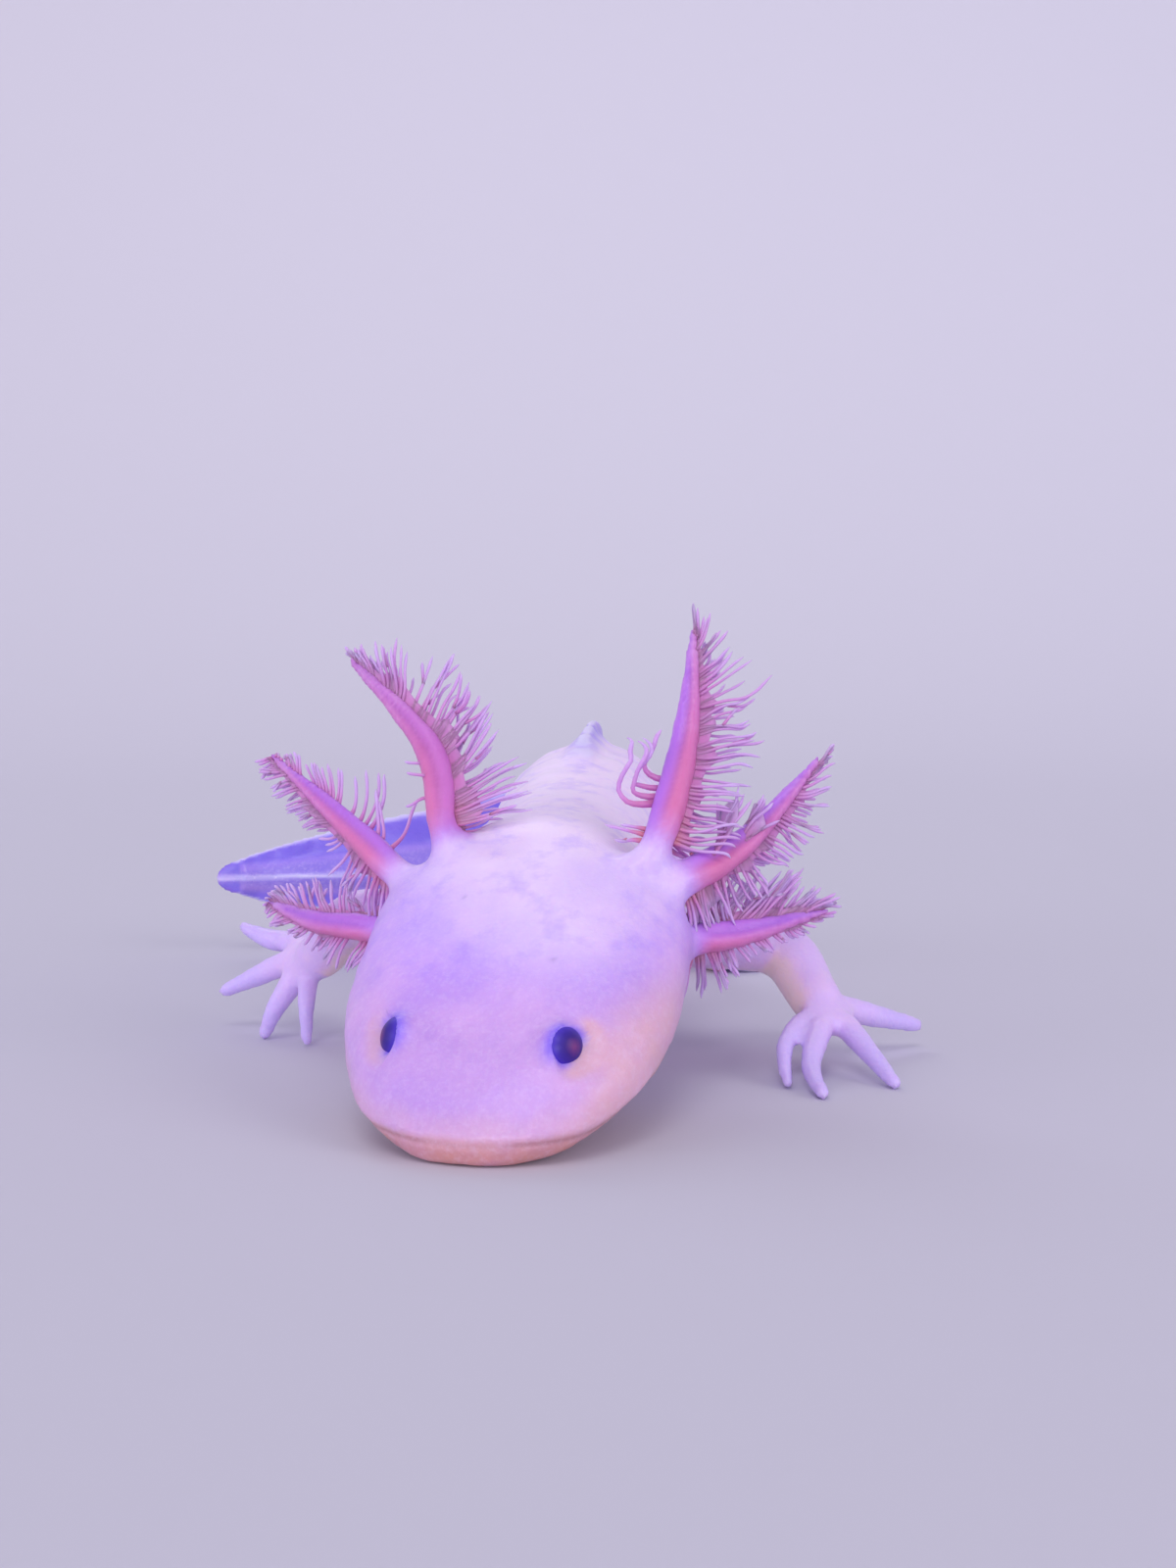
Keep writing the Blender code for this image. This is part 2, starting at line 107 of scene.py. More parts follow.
limbForm = {
    "radii": (2.3, 2.2, 2.05, 1.76, 1.5),
    "sizes": {"armLeft": (1.08, 1.22), "armRight": (1.05, 1.2)},    # how much wider limb and palm are
    "palm": ((0.0, 1.5, 1.45), (0.65, 1.85, 1.15), (1.0, 2.05, 1.0), (1.4, 1.75, 0.85),
             (1.62, 0.9, 0.5)),     # share of the way to its middle, half width and half depth
    "fingerRadii": (1.0, 0.95, 0.76, 0.5),
    "fingerSizes": {"armLeft": (1.08, 0.97, 0.92, 0.8), "armRight": (1.08, 1.08, 1.0, 0.84)},
}
# knuckle, bend and tip of each finger or toe
digits = {
    "armLeft": (((25.2, -11.8, 3.7), (28.2, -10.2, 2.8), (31.2, -8.6, 1.9)),
                ((24.9, -15.2, 3.0), (26.0, -18.2, 1.8), (27.2, -21.1, 0.4)),
                ((22.6, -16.7, 3.0), (21.5, -20.5, 1.4), (21.8, -23.9, 0.4)),
                ((21.6, -15.1, 3.4), (19.9, -18.5, 2.3), (19.8, -21.1, 0.4))),
    "armRight": (((-17.2, -2.2, 7.1), (-20.3, 0.4, 7.2), (-22.6, 1.8, 8.0)),
                 ((-18.5, -3.0, 5.6), (-21.0, -1.9, 4.4), (-23.5, -1.2, 3.2)),
                 ((-17.5, -5.0, 4.4), (-18.8, -5.2, 2.3), (-19.6, -4.9, 0.4)),
                 ((-16.0, -6.0, 4.9), (-15.9, -7.3, 2.8), (-15.8, -7.6, 0.4))),
    "legLeft": (((18.9, 25.2, 1.4), (21.0, 25.4, 0.9), (23.2, 26.0, 0.4)),
                ((19.4, 26.4, 1.3), (21.4, 27.6, 0.8), (23.2, 29.2, 0.4)),
                ((19.2, 27.3, 1.3), (20.4, 29.4, 0.8), (21.6, 31.4, 0.4)),
                ((18.5, 27.7, 1.3), (18.8, 29.8, 0.8), (19.2, 31.8, 0.4)),
                ((17.6, 27.6, 1.3), (17.2, 29.2, 0.8), (16.9, 30.8, 0.4))),
    "legRight": (((-7.2, 22.4, 1.4), (-8.4, 20.4, 0.9), (-9.8, 18.6, 0.4)),
                 ((-8.4, 22.7, 1.3), (-10.6, 21.3, 0.8), (-12.6, 20.2, 0.4)),
                 ((-8.9, 23.5, 1.3), (-11.3, 23.1, 0.8), (-13.6, 22.8, 0.4)),
                 ((-8.8, 24.4, 1.3), (-10.9, 25.0, 0.8), (-13.0, 25.6, 0.4)),
                 ((-8.2, 25.1, 1.3), (-9.6, 26.3, 0.8), (-11.2, 27.3, 0.4))),
}

# roots in the head's frame for the left side: u left, v back, w up, and a shift of both to the left
gillRoots = {
    "top": (7.0, 22.0, 10.6, 1.1),
    "middle": (9.5, 21.9, 8.5, 0.2),
    "low": (10.2, 21.6, 4.2, 0.0),
}
stalkRadii = (1.7, 1.42, 0.96, 0.3)
stalkSizes = {"left_top": 1.0, "left_middle": 1.0, "left_low": 0.92,
              "right_top": 1.0, "right_middle": 0.88, "right_low": 0.78}


def comb(span, count, turn, reach, back, bend, stout=1.0, slow=0.0, web=None):
    return {"span": span, "count": count, "turn": turn, "reach": reach, "back": back, "bend": bend,
            "stout": stout, "slow": slow, "web": web}


# A comb is a row of filaments between two places of its stalk. Turn is the angle above +X, and turn
# and reach are given at the row's start, middle and end. Back leans it to the rear, bend turns its
# ends anticlockwise, slow holds them back, and web joins it as far as that share of its length.
# Ridge and groove say which way a stalk's violet edge and its furrow face.
gills = {
    "left_top": {
        "middle": (12.8, -18.5, 24.0), "tip": (13.6, -15.0, 31.7),
        "ridge": (-1.0, -0.35, 0.1), "violet": 0.9, "groove": (-0.25, -0.95, 0.1),
        "rows": (
            comb((1.2, 2.99), 46, (-24, 6, 84), (3.9, 4.6, 1.7), 0.2, 0.35),
            comb((1.2, 2.94), 32, (-36, 0, 70), (3.6, 4.0, 1.8), 0.8, 0.3),
            comb((1.02, 1.3), 8, (-80, -55, -35), (2.6, 3.6, 3.8), 0.3, 0.7),
            comb((1.42, 1.7), 4, (186, 182, 168), (10.2, 8.2, 5.2), 0.1, (-5.2, -3.8, -2.8),
                 stout=1.45, slow=0.88),
            comb((1.1, 1.26), 3, (172, 160, 150), (1.8, 3.0, 2.2), 0.2, 0.4, stout=1.1),
        ),
    },
    "left_middle": {
        "middle": (16.9, -20.0, 17.1), "tip": (22.2, -17.5, 22.6),
        "ridge": (-0.65, -0.3, 0.7), "violet": 0.9, "groove": (-0.1, -0.95, 0.3),
        "rows": (
            comb((1.22, 2.98), 42, (-74, -42, 16), (2.7, 3.0, 1.8), 0.2, 0.2),
            comb((1.25, 2.94), 32, (-80, -50, 4), (2.7, 2.8, 1.6), 0.8, 0.2),
            comb((1.5, 1.74), 7, (50, 70, 92), (3.4, 4.7, 3.6), 0.3, 0.3, web=0.85),
            comb((1.9, 2.12), 6, (40, 58, 78), (2.2, 3.0, 2.2), 0.3, 0.2, web=0.8),
            comb((1.02, 1.5), 9, (-72, -70, -62), (2.6, 2.8, 2.4), 0.35, 0.1, web=0.8),
        ),
    },
    "left_low": {
        "middle": (16.8, -20.5, 10.8), "tip": (22.9, -17.0, 11.8),
        "ridge": (0.0, -0.3, 1.0), "violet": 0.8, "groove": (0.0, -0.9, 0.4),
        "rows": (
            comb((1.12, 2.98), 44, (68, 56, 34), (4.2, 4.3, 1.4), 0.5, -0.6),
            comb((1.15, 2.9), 30, (76, 64, 44), (4.0, 4.1, 1.4), 0.9, -0.6),
            comb((1.1, 1.7), 14, (-94, -86, -70), (3.9, 3.4, 2.2), 0.3, 0.2),
            comb((1.0, 1.4), 8, (96, 84, 66), (2.6, 3.2, 3.4), 0.5, -0.4, web=0.8),
            comb((1.7, 2.94), 24, (-66, -50, -20), (1.3, 1.1, 0.9), 0.3, 0.1),
        ),
    },
    "right_top": {
        "middle": (-5.3, -16.0, 23.2), "tip": (-11.6, -11.0, 29.8),
        "ridge": (0.62, -0.75, 0.2), "violet": 0.35, "groove": (-0.05, -1.0, 0.0),
        "rows": (
            comb((1.22, 2.99), 46, (6, 52, 112), (4.5, 4.6, 1.5), 0.2, 0.6),
            comb((1.2, 2.94), 34, (-4, 44, 100), (4.0, 4.1, 1.5), 0.8, 0.5),
            comb((1.5, 1.95), 3, (178, 142, 160), (1.6, 1.4, 1.5), 0.1, 0.7),
            comb((1.02, 1.2), 4, (-24, -12, 0), (2.4, 3.2, 3.4), 0.4, 0.3),
        ),
    },
    "right_middle": {
        "middle": (-11.8, -15.5, 18.3), "tip": (-17.5, -11.5, 22.7),
        "ridge": (0.6, -0.3, 0.75), "violet": 0.85, "groove": (0.15, -0.95, 0.3),
        "rows": (
            comb((1.15, 2.98), 40, (252, 210, 168), (3.5, 2.5, 1.5), 0.2, 0.3),
            comb((1.2, 2.92), 28, (262, 220, 176), (3.4, 2.5, 1.4), 0.8, 0.2),
            comb((1.4, 1.95), 7, (48, 56, 70), (3.4, 3.6, 2.8), 0.3, 1.5, stout=1.1),
            comb((2.05, 2.92), 18, (80, 96, 122), (2.1, 1.5, 0.9), 0.3, 0.4),
        ),
    },
    "right_low": {
        "middle": (-13.8, -14.5, 10.7), "tip": (-18.2, -10.0, 11.6),
        "ridge": (0.0, -0.3, 1.0), "violet": 0.8, "groove": (0.0, -0.9, 0.4),
        "rows": (
            comb((1.15, 2.92), 36, (92, 106, 146), (3.0, 2.9, 1.1), 0.8, 0.4),
            comb((1.1, 1.75), 11, (256, 240, 228), (3.6, 3.2, 2.2), 0.2, -0.2),
            comb((1.7, 2.95), 24, (230, 216, 196), (1.7, 1.5, 0.9), 0.2, -0.1),
        ),
    },
}


def smooth(rows, place):    # a smooth curve through all rows, at places counted in rows
    rows = np.asarray(rows, float)
    place = np.atleast_1d(np.asarray(place, float))
    last = len(rows) - 1
    low = np.clip(place.astype(int), 0, last - 1)
    part = (place - low)[:, None]
    before, start, end, after = (rows[np.clip(low + k, 0, last)] for k in (-1, 0, 1, 2))
    square = part * part
    cube = square * part
    return (start * (2 * cube - 3 * square + 1) + (end - before) * 0.5 * (cube - 2 * square + part)
            + end * (3 * square - 2 * cube) + (after - start) * 0.5 * (cube - square))


def unit(vectors):
    return vectors / np.maximum(np.linalg.norm(vectors, axis=-1, keepdims=True), 1e-12)


def heading(path, place):   # the way a curve runs at some places
    return unit(smooth(path, place + 0.02) - smooth(path, place - 0.02))


def sizeAt(sizes, place):
    return smooth(np.array(sizes)[:, None], place)[:, 0]


def eased(part):
    part = np.clip(part, 0.0, 1.0)
    return part * part * (3 - 2 * part)


def rounded(part, power):   # a quarter of a superellipse
    part = np.clip(part, 0.0, 1.0)
    return (1 - (1 - part) ** power) ** (1 / power)


def squared(value, power):
    return np.sign(value) * np.abs(value) ** (2 / power)


def bell(distance, width):
    return np.exp(-(distance / width) ** 2)


def roundAngles(sides):
    return np.linspace(0, 2 * math.pi, sides, endpoint=False)


def turning():      # from the head's frame to the room's
    yaw = math.radians(head["yaw"])
    pitch = math.radians(head["pitch"])
    level = np.array([[math.cos(yaw), math.sin(yaw), 0], [-math.sin(yaw), math.cos(yaw), 0], [0, 0, 1]])
    tilt = np.array([[1, 0, 0],
                     [0, math.cos(pitch), -math.sin(pitch)],
                     [0, math.sin(pitch), math.cos(pitch)]])
    return level @ tilt


headTurn = turning()


def fromHead(local):
    return np.asarray(local, float) @ headTurn.T + np.array(head["snout"])


def toHead(points):
    return (np.asarray(points) - np.array(head["snout"])) @ headTurn


def headSizes(v):   # half width, and the heights of the crown, the widest line and the underside
    half = (head["halfWidth"] * rounded(v / head["widestAt"], 2.2)
            - head["napeNarrowing"] * eased((v - 20.5) / 4.5))
    widest = 1.8 + 0.16 * v
    rise = (1.7 + 0.242 * v) * rounded((v + 0.05) / 4.5, 2.0) + 0.5 * np.sin(0.16 * v)
    rise = rise - head["napeDrop"] * eased((v - 20.0) / 4.2)
    drop = (widest + 0.25 * eased(v / 12)) * rounded((v + 0.05) / 3.0, 2.2)
    return half, widest + rise, widest, widest - drop


def headRings(v, sides):
    v = np.atleast_1d(np.asarray(v, float))
    angle = roundAngles(sides)[None]
    half, crown, widest, under = (size[:, None] for size in headSizes(v))
    above = np.sin(angle) >= 0
    power = np.where(above, 2.2, 2.7)
    u = half * squared(np.cos(angle), power)
    w = widest + np.where(above, crown - widest, widest - under) * squared(np.sin(angle), power)
    return fromHead(np.stack([u, np.broadcast_to(v[:, None], u.shape), w], -1))


def spineFrame(place):
    rows = smooth(spineRows, place)
    along = smooth(spineRows, np.atleast_1d(place) + 0.02)[:, :3] - rows[:, :3]
    side = unit(np.stack([along[:, 1], -along[:, 0], np.zeros(len(along))], 1))
    return rows[:, :3], side, unit(np.cross(side, along)), rows[:, 3], rows[:, 4]


def spineRings(place, sides):
    centre, side, lift, halfWidth, halfHeight = spineFrame(place)
    angle = roundAngles(sides)[None, :, None]
    across = squared(np.cos(angle), trunk["squareness"]) * halfWidth[:, None, None]
    rise = squared(np.sin(angle), trunk["squareness"]) * halfHeight[:, None, None]
    return centre[:, None] + side[:, None] * across + lift[:, None] * rise


def neckRings(count, sides):    # from the head's last rings to the trunk's first
    length = head["length"]
    neckEnd = trunk["neckEnd"]
    keys = np.concatenate([headRings([length - 4, length], sides),
                           spineRings([neckEnd, neckEnd + 1.2], sides)])
    flat = smooth(keys.reshape(4, -1), np.linspace(1, 2, count + 2)[1:-1])
    return flat.reshape(count, sides, 3)


def ovals(centre, side, lift, sides):
    angle = roundAngles(sides)[None, :, None]
    return centre[:, None] + side[:, None] * np.cos(angle) + lift[:, None] * np.sin(angle)


def tubeRings(path, radii, start, end, count, sides):   # with a round end
    place = np.linspace(start, end, count)
    centre = smooth(path, place)
    along = heading(path, place)
    radius = sizeAt(radii, place)
    parts = np.array([0.4, 0.7, 0.9, 0.99])
    centre = np.vstack([centre, centre[-1] + along[-1] * radius[-1] * parts[:, None]])
    along = np.vstack([along, np.repeat(along[-1:], len(parts), 0)])
    radius = np.append(radius, radius[-1] * np.sqrt(1 - parts ** 2))
    side = unit(np.cross(along, up))
    return ovals(centre, side * radius[:, None], np.cross(side, along) * radius[:, None], sides)


def finReach(which, place):
    rows = np.array(fin[which])
    return np.interp(place, rows[:, 0], rows[:, 1], left=-1.0, right=rows[-1, 1])


def finFoot(place, beyond):     # how much thicker a fin is near the muscle
    onRump = 1 - eased((np.asarray(place) - 5.2) / 1.6)
    return (0.35 + fin["foot"] * onRump) * np.exp(-np.maximum(beyond + 0.3, 0) / fin["footFall"])


def finRings(which, sign, count, levels=10):
    rows = np.array(fin[which])
    place = np.linspace(rows[0, 0], rows[-1, 0], count)
    centre, side, lift, _, halfHeight = spineFrame(place)
    reach = finReach(which, place)
    share = np.linspace(0, 1, levels)[None]
    beyond = -1.0 + (reach[:, None] + 1.0) * share
    thick = fin["halfThick"] * np.sqrt(np.maximum(1 - share ** 8, 0.08))
    thick = thick + finFoot(place[:, None], beyond)
    thick = np.minimum(thick, (0.2 + np.maximum(reach + 1.0, 0) * 0.9)[:, None])
    middle = centre[:, None] + sign * lift[:, None] * (halfHeight[:, None] + beyond)[..., None]
    spread = side[:, None] * thick[..., None]
    return np.concatenate([middle + spread, (middle - spread)[:, ::-1]], 1)


def lobeRings(sides=24):    # the rounded end of the tail
    part = np.array([0.0, 0.2, 0.4, 0.6, 0.75, 0.88, 0.96, 0.995])
    centre, side, lift, _, halfHeight = spineFrame(np.array([trunk["tailEnd"]]))
    along = np.cross(lift, side)
    tall = (halfHeight[0] + fin["top"][-1][1]) * np.sqrt(1 - part ** 2)
    middle = centre + along * (part[:, None] * fin["lobe"])
    thick = side * np.full(len(part), fin["halfThick"])[:, None]
    return ovals(middle, thick, lift * tall[:, None], sides)


def palmRings(path, knuckles, size, sides=24):
    across = unit(knuckles[0] - knuckles[-1])
    along = unit(path[4] - path[3])
    if across @ np.cross(along, up) < 0:
        across = -across
    normal = unit(np.cross(across, along))
    rows = smooth(limbForm["palm"], np.linspace(0, 4, 17))
    middle = path[3] + (path[4] - path[3]) * rows[:, :1]
    rows = rows * (1, size, 1)
    return ovals(middle, across * rows[:, 1:2], normal * rows[:, 2:3], sides)


def gillPath(name):
    side = 1 if name.startswith("left") else -1
    u, v, w, toLeft = gillRoots[name.split("_")[1]]
    inside = fromHead(((u - 2.5) * side + toLeft, v - 0.5, w - 1.5))
    root = fromHead((u * side + toLeft, v, w))
    return np.array([inside, root, gills[name]["middle"], gills[name]["tip"]])


def stalkWidths(name):
    return np.array(stalkRadii) * stalkSizes[name]


def limbPath(name):
    return np.array(limbs[name])


def digitPaths(name):
    palm = limbPath(name)[4]
    paths = []
    for digit in digits[name]:
        knuckle, bend, tip = np.array(digit)
        paths.append(np.array([palm + (knuckle - palm) * 0.3, knuckle, bend, tip]))
    return paths


def designShift():      # from the design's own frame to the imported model's
    low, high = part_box("eye_left")
    centre = (np.array(low) + np.array(high)) / 2 / mm
    return centre - eyePlace(1)


# where the eyes sit and where they look
eye = {
    "place": (5.12, 6.1, 5.35),
    "shift": -0.35,         # both sit a little to the right of the middle
    "nudge": {1: (0.0, 0.0, 0.0), -1: (-0.35, 0.5, -0.05)},     # left is 1 and right is -1
    "radius": 1.45,
    "deeper": {1: 0.42, -1: 0.62},      # how far behind that place the ball's middle is
    "outward": {1: 53.0, -1: 63.0},     # degrees from the way the head faces
    "upward": 12.0,
    "opening": 51.0,        # half angle of the part that the skin leaves bare
    "lid": 0.06,
    "melt": 0.65,           # how softly the skin runs from the ball into the head
    "sink": 0.4,
}


def eyePlace(side):
    u, v, w = eye["place"]
    return fromHead((u * side + eye["shift"], v, w))


def eyeMiddle(side):
    moved = headTurn @ np.array(eye["nudge"][side])
    return eyePlace(side) + moved - eyeAxis(side) * eye["deeper"][side]


def eyeAxis(side):
    turn = math.radians(eye["outward"][side] * side - head["yaw"])
    rise = math.radians(eye["upward"])
    return np.array([math.sin(turn) * math.cos(rise), -math.cos(turn) * math.cos(rise), math.sin(rise)])


shift = designShift()
print("frame loaded, shift in mm", np.round(shift, 3))


# the skin is one closed surface over head, trunk, tail, fins, limbs and gill stalks
skinForm = {
    "voxel": 0.312,         # the size of its faces, and a smaller one makes more of them
    "finer": (2.5, 2.0),    # how far round the eyes they are halved once, and again
    "sides": 96,
    "evenOut": 12,          # rounds that take the steps out of it
    "meltJoins": 22,        # rounds that soften where limbs, digits and stalks start
    "groove": 0.2,          # depth of the furrow along each gill stalk
    "meltNape": 160,        # rounds that soften the step from crown to neck
    "nape": 0.65,           # how much fuller the skin is over the neck
    "crown": 0.7,           # how much lower the crown's back edge is
    "cheek": 0.175,         # how full the cheeks are
    "brow": 0.3,            # depth of the dip between the eyes
    "grain": 0.02,
}


def ringFaces(count, sides):    # the quads between rings of points, and the rings' own numbers
    index = np.arange(count * sides).reshape(count, sides)
    after = np.roll(index, -1, 1)
    return index, after, np.stack([index[:-1], after[:-1], after[1:], index[1:]], -1).reshape(-1, 4)


def loft(rings):    # points and faces of a closed form, never below the floor
    count, sides, _ = rings.shape
    points = np.concatenate([rings.reshape(-1, 3), rings[0].mean(0)[None], rings[-1].mean(0)[None]])
    points[:, 2] = np.maximum(points[:, 2], 0.0)
    index, after, quads = ringFaces(count, sides)
    first = np.stack([after[0], index[0], np.full(sides, count * sides)], -1)
    last = np.stack([index[-1], after[-1], np.full(sides, count * sides + 1)], -1)
    return points, quads.tolist() + first.tolist() + last.tolist()


def bodyForms():
    sides = skinForm["sides"]
    snoutFirst = head["length"] * np.linspace(0.02, 1, 70) ** 1.7
    place = np.linspace(trunk["neckEnd"], trunk["tailEnd"], 150)
    body = np.concatenate([headRings(snoutFirst, sides), neckRings(8, sides), spineRings(place, sides)])
    forms = [body, finRings("top", 1, 120), finRings("under", -1, 90), lobeRings()]
    for name in limbs:
        path = limbPath(name)
        limbSize, palmSize = limbForm["sizes"].get(name, (1.0, 1.0))
        forms.append(tubeRings(path, np.array(limbForm["radii"]) * limbSize, 0.0, 3.1, 50, 28))
        knuckles = np.array([digit[0] for digit in digits[name]])
        forms.append(palmRings(path, knuckles, palmSize))
        sizes = limbForm["fingerSizes"].get(name, (0.9,) * 5)
        for digit, size in zip(digitPaths(name), sizes):
            forms.append(tubeRings(digit, np.array(limbForm["fingerRadii"]) * size, 0.0, 3.0, 26, 18))
    for name in gills:
        forms.append(tubeRings(gillPath(name), stalkWidths(name), 0.0, 3.0, 50, 24))
    return [loft(rings) for rings in forms]


def joined(forms):
    points = []
    faces = []
    total = 0
    for formPoints, formFaces in forms:
        points.append(formPoints)
        faces += [[corner + total for corner in face] for face in formFaces]
        total += len(formPoints)
    return np.concatenate(points), faces


def added(name, data):
    made = bpy.data.objects.new(name, data)
    bpy.context.scene.collection.objects.link(made)
    return made


def evaluated(holder):      # the mesh that its modifiers make, and the holder goes
    seen = holder.evaluated_get(bpy.context.evaluated_depsgraph_get())
    made = bpy.data.meshes.new_from_object(seen)
    source = holder.data
    bpy.data.objects.remove(holder)
    bpy.data.meshes.remove(source)
    return made


def remeshed(points, faces, voxel):
    mesh = bpy.data.meshes.new("rough")
    mesh.from_pydata(points.tolist(), [], faces)
    rough = added("rough", mesh)
    step = rough.modifiers.new("even", "REMESH")
    step.mode = "VOXEL"
    step.voxel_size = voxel
    return evaluated(rough)


def readArray(items, key, width, kind=np.float32):
    values = np.empty(len(items) * width, kind)
    items.foreach_get(key, values)
    return values.reshape(-1, width)


def meshPoints(mesh):
    return readArray(mesh.vertices, "co", 3).astype(float)


def meshNormals(mesh):
    return readArray(mesh.vertex_normals, "vector", 3).astype(float)


def setPoints(mesh, points):
    mesh.vertices.foreach_set("co", np.ascontiguousarray(points, np.float32).ravel())
    mesh.update()


def meshEdges(mesh):
    return readArray(mesh.edges, "vertices", 2, np.int32)


def averaged(values, edges):    # each point's mean over its neighbours
    count = len(values)
    near = np.bincount(edges[:, 0], minlength=count) + np.bincount(edges[:, 1], minlength=count)
    total = np.empty_like(values)
    for axis in range(values.shape[1]):
        total[:, axis] = (np.bincount(edges[:, 0], values[edges[:, 1], axis], count)
                          + np.bincount(edges[:, 1], values[edges[:, 0], axis], count))
    return total / np.maximum(near, 1)[:, None]


def relax(points, edges, rounds, weight=1.0, keepVolume=True):
    weight = np.broadcast_to(np.asarray(weight, float).reshape(-1, 1), (len(points), 1))
    for _ in range(rounds):
        points = points + 0.5 * weight * (averaged(points, edges) - points)
        if keepVolume:      # the step back is a little longer than the step in
            points = points - 0.53 * weight * (averaged(points, edges) - points)
    return points


def nearestPlace(points, path, first, last, count=80):  # distance to a curve and the place on it
    place = np.linspace(first, last, count)
    line = smooth(path, place)[:, :3]
    best = np.full(len(points), np.inf)
    found = np.zeros(len(points))
    for spot, centre in zip(place, line):
        offset = points - centre
        distance = (offset * offset).sum(1)
        closer = distance < best
        best[closer] = distance[closer]
        found[closer] = spot
    return np.sqrt(best), found


def spinePlaces(points):
    _, place = nearestPlace(points, spineRows, -1.0, trunk["tailEnd"] + 0.02, 600)
    centre, side, lift, halfWidth, halfHeight = spineFrame(np.maximum(place, 0.0))
    offset = points - centre
    return place, (offset * side).sum(1), (offset * lift).sum(1), halfWidth, halfHeight, side


def gillShare(points):      # for each stalk: how much a point belongs to it, and its place
    shares = {}
    for name in gills:
        distance, place = nearestPlace(points, gillPath(name), 0.9, 3.0, 60)
        near = eased((sizeAt(stalkWidths(name), place) * 1.5 + 0.25 - distance) / 0.7)
        shares[name] = (near * eased((place - 0.92) / 0.35), place)
    return shares


def stalkFacing(points, name, place, side):     # 1 where a stalk faces its ridge or its groove
    path = gillPath(name)
    along = heading(path, place)
    way = np.array(gills[name][side], float)
    way = unit(way - along * (along @ way)[:, None])
    return np.clip((unit(points - smooth(path, place)) * way).sum(1), -1, 1)


def limbShare(points):      # how much of each point is limb, finger or toe, and root of one
    share = np.zeros(len(points))
    tip = np.zeros(len(points))
    joint = np.zeros(len(points))
    for name in limbs:
        distance, place = nearestPlace(points, limbPath(name), 0.8, 4.3, 60)
        near = eased((sizeAt(limbForm["radii"], place) * 1.7 + 0.4 - distance) / 1.0)
        share = np.maximum(share, near * eased((place - 0.75) / 0.6))
        joint = np.maximum(joint, bell(place - 1.0, 0.35) * eased((4.4 - distance) / 1.5))
        for digit in digitPaths(name):
            distance, place = nearestPlace(points, digit, 0.0, 3.0, 40)
            close = eased((1.9 - distance) / 0.8)
            share = np.maximum(share, close)
            tip = np.maximum(tip, close * eased((place - 0.4) / 2.0))
            joint = np.maximum(joint, close * bell(place - 0.35, 0.3) * 0.4)
    return share, tip, joint


def refine(mesh, chosen):   # halves the faces round the chosen points
    bm = bmesh.new()
    bm.from_mesh(mesh)
    bm.verts.ensure_lookup_table()
    edges = set()
    for index in np.flatnonzero(chosen):
        edges.update(bm.verts[int(index)].link_edges)
    bmesh.ops.subdivide_edges(bm, edges=list(edges), cuts=1, use_grid_fill=True, smooth=0.0)
    bmesh.ops.triangulate(bm, faces=[face for face in bm.faces if len(face.verts) > 4])
    bm.to_mesh(mesh)
    bm.free()


mouth = {"depth": 0.1, "width": 0.3, "lip": 0.07, "back": 9.4}
nostril = {"place": (3.1, 0.9, 3.05), "radius": 0.32, "depth": 0.16}


def mouthHeight(v):
    return 2.25 - 0.65 * eased(v / 3.4) + 0.09 * np.maximum(v - 4, 0)


def mouthParts(points):     # height over the mouth line, and how much of it there is
    u, v, w = toHead(points).T
    half, _, _, _ = headSizes(np.clip(v, 0, 24))
    onSide = eased((np.abs(u) - half * 0.55) / (half * 0.2 + 0.01))
    onFront = eased((2.2 - v) / 1.2)
    present = eased((mouth["back"] - v) / 1.6) * np.maximum(onSide, onFront)
    return w - mouthHeight(np.maximum(v, 0)), present


def nearEyes(points, reach):
    near = np.zeros(len(points), bool)
    for side in (1, -1):
        near |= np.linalg.norm(points - eyePlace(side), axis=1) < reach
    return near


def opened(points):         # the skin round each eye, stretched over the ball and open in front
    for side in (1, -1):
        centre = eyeMiddle(side)
        offset = points - centre
        distance = np.linalg.norm(offset, axis=1)
        angle = np.degrees(np.arccos(np.clip(unit(offset) @ eyeAxis(side), -1, 1)))
        cover = eye["radius"] + eye["lid"]
        part = np.clip(0.5 + 0.5 * (distance - cover) / eye["melt"], 0, 1)
        stretched = cover * (1 - part) + distance * part + eye["melt"] * part * (1 - part)
        bare = eased((eye["opening"] + 7 - angle) / 9)
        target = stretched * (1 - bare) + (eye["radius"] - eye["sink"]) * bare
        close = eased((eye["radius"] * 2.0 - distance) / 0.9)
        inner = distance > eye["radius"] * 0.35
        target = np.where(inner, distance + (target - distance) * close, distance)
        points = centre + unit(offset) * target[:, None]
    return points


def waves(points, size, seed, count=9):     # soft unevenness between -1 and 1
    rng = np.random.default_rng(seed)
    total = np.zeros(len(points))
    for way in unit(rng.normal(size=(count, 3))):
        rate = 2 * math.pi / (size * rng.uniform(0.7, 1.4))
        total += np.sin(points @ way * rate + rng.uniform(0, 6.28))
    return total / math.sqrt(count * 2)


folds = {"ribs": 10, "from": 1.4, "to": 5.2, "ribDepth": 0.15, "backDepth": 0.17, "uneven": 0.05}


def foldDepths(points):
    place, across, rise, halfWidth, halfHeight, _ = spinePlaces(points)
    angle = np.degrees(np.arctan2(rise / halfHeight, np.abs(across) / halfWidth))
    part = (place - folds["from"]) / (folds["to"] - folds["from"])
    inside = eased(part / 0.08) * eased((1 - part) / 0.08)
    wave = (0.5 + 0.5 * np.cos(part * folds["ribs"] * 2 * math.pi + 0.6 * np.sin(angle * 0.05))) ** 5
    onFlank = bell(angle + 5, 42)
    onBack = bell(angle - 80, 45) * eased((place - 2.4) / 1.2)
    return inside * (folds["ribDepth"] * wave * onFlank + folds["backDepth"] * wave * onBack)


